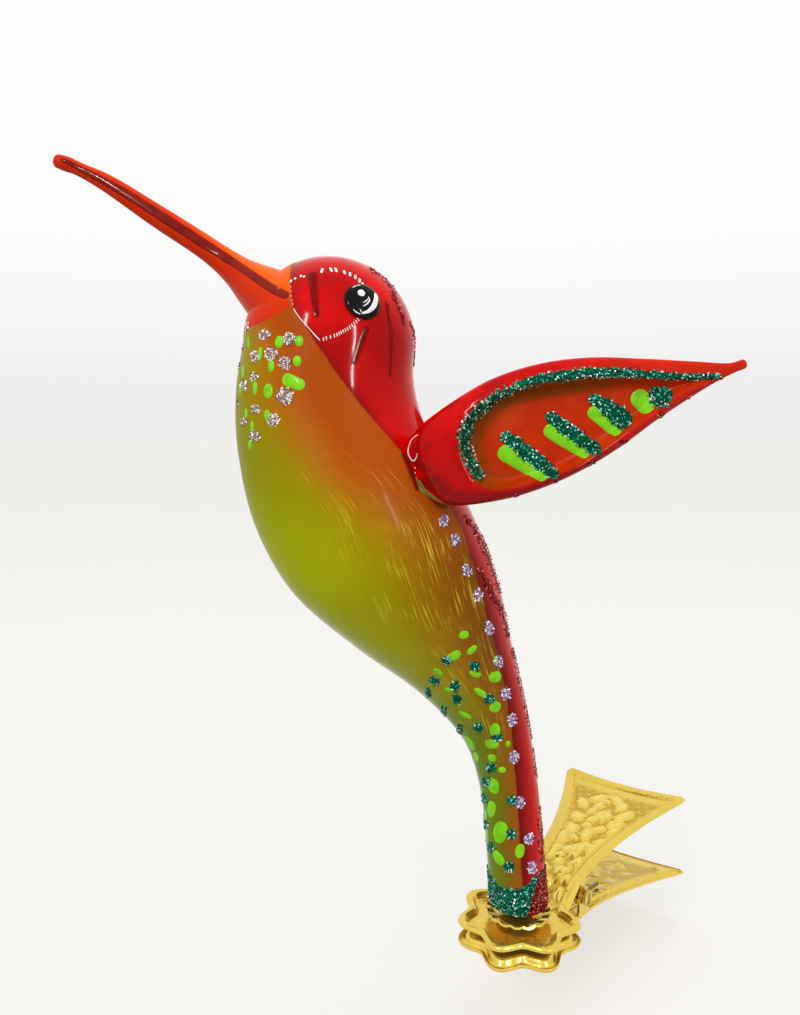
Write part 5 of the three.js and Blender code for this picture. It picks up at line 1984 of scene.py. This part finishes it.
class ORNAMENT_OT_stage(bpy.types.Operator):
    """Set the floor, the lamps, the pale surround and the camera"""

    bl_idname = "ornament.stage"
    bl_label = "Stage"

    def execute(self, context):
        scene, stage = context.scene, context.scene.ornament_stage
        self.lay_floor(stage)
        scene.view_settings.view_transform = "Standard"
        scene.world = self.surround(stage)
        for name, (spot, size, share) in LAMPS.items():
            area_lamp(name, spot, stage.key * share, size).visible_glossy = False
        for name, spot in PANES.items():
            pane = area_lamp(name, spot, stage.glint, PANE_WIDTH, PANE_HEIGHT)
            pane.visible_diffuse = False
        bpy.ops.object.camera_add(location=EYE_POINT, rotation=(math.pi / 2 - TILT, 0, 0))
        camera = bpy.context.object
        camera.data.lens = stage.lens
        camera.data.sensor_width = 36
        camera.data.clip_start = 0.01
        scene.camera = camera
        return {"FINISHED"}

    def lay_floor(self, stage):
        clear()
        bpy.ops.mesh.primitive_circle_add(
            vertices=96, radius=40, fill_type="NGON", location=(0, 0, FLOOR_LEVEL)
        )
        bpy.ops.object.transform_apply(location=True)
        floor = named(bpy.context.object, "floor")
        material, tree, shader, place = new_material("pale floor")
        stops = [(0.0, stage.floor), (1.0, shade(150, 149, 147))]
        feed(tree, shader, {
            "Base Color": ramp(tree, noise(tree, place, 3.0, 2.0), stops),
            "Emission Color": (1.0, 0.99, 0.97, 1),
            "Emission Strength": times(tree, background_rays(tree), stage.glow),
            "Roughness": 0.9,
            "Specular IOR Level": 0.1,
        })
        floor.data.materials.append(material)

    def surround(self, stage):
        world = bpy.data.worlds.new("pale surround")
        world.use_nodes = True
        tree = world.node_tree
        height = axes(tree, add(tree, "ShaderNodeTexCoord").outputs["Generated"])[2]
        wall = map_range(tree, height, 0.0, 0.25, FAR_FLOOR, HIGH_WALL, "SMOOTHSTEP")
        feed(tree, tree.nodes["Background"], {
            "Strength": map_range(tree, background_rays(tree), 0.0, 1.0, stage.world, wall),
            "Color": (1.0, 0.995, 0.98, 1),
        })
        return world


class ORNAMENT_PT_sidebar(bpy.types.Panel):
    bl_label = "Ornament"
    bl_idname = "ORNAMENT_PT_sidebar"
    bl_space_type = "VIEW_3D"
    bl_region_type = "UI"
    bl_category = "Ornament"

    def draw(self, context):
        for operator in OPERATORS:
            self.layout.operator(operator.bl_idname)
        for label in SETTINGS:
            box = self.layout.box()
            box.label(text=label)
            settings = getattr(context.scene, label)
            for key in settings.__annotations__:
                box.prop(settings, key)


SETTINGS = {
    "ornament_glass": GlassSettings,
    "ornament_paint": PaintSettings,
    "ornament_glitter": GlitterSettings,
    "ornament_clip": ClipSettings,
    "ornament_stage": StageSettings,
}
OPERATORS = [
    ORNAMENT_OT_body, ORNAMENT_OT_beak, ORNAMENT_OT_wings, ORNAMENT_OT_eyes, ORNAMENT_OT_paint,
    ORNAMENT_OT_glitter, ORNAMENT_OT_clip, ORNAMENT_OT_springs, ORNAMENT_OT_fittings,
    ORNAMENT_OT_stage,
]


def register():
    for kind in [*SETTINGS.values(), *OPERATORS, ORNAMENT_PT_sidebar]:
        bpy.utils.register_class(kind)
    for label, kind in SETTINGS.items():
        setattr(bpy.types.Scene, label, PointerProperty(type=kind))


def unregister():
    for label in SETTINGS:
        delattr(bpy.types.Scene, label)
    for kind in reversed([*SETTINGS.values(), *OPERATORS, ORNAMENT_PT_sidebar]):
        bpy.utils.unregister_class(kind)


def main():
    register()
    for operator in OPERATORS:
        getattr(bpy.ops.ornament, operator.bl_idname.split(".")[1])()


if __name__ == "__main__":
    main()
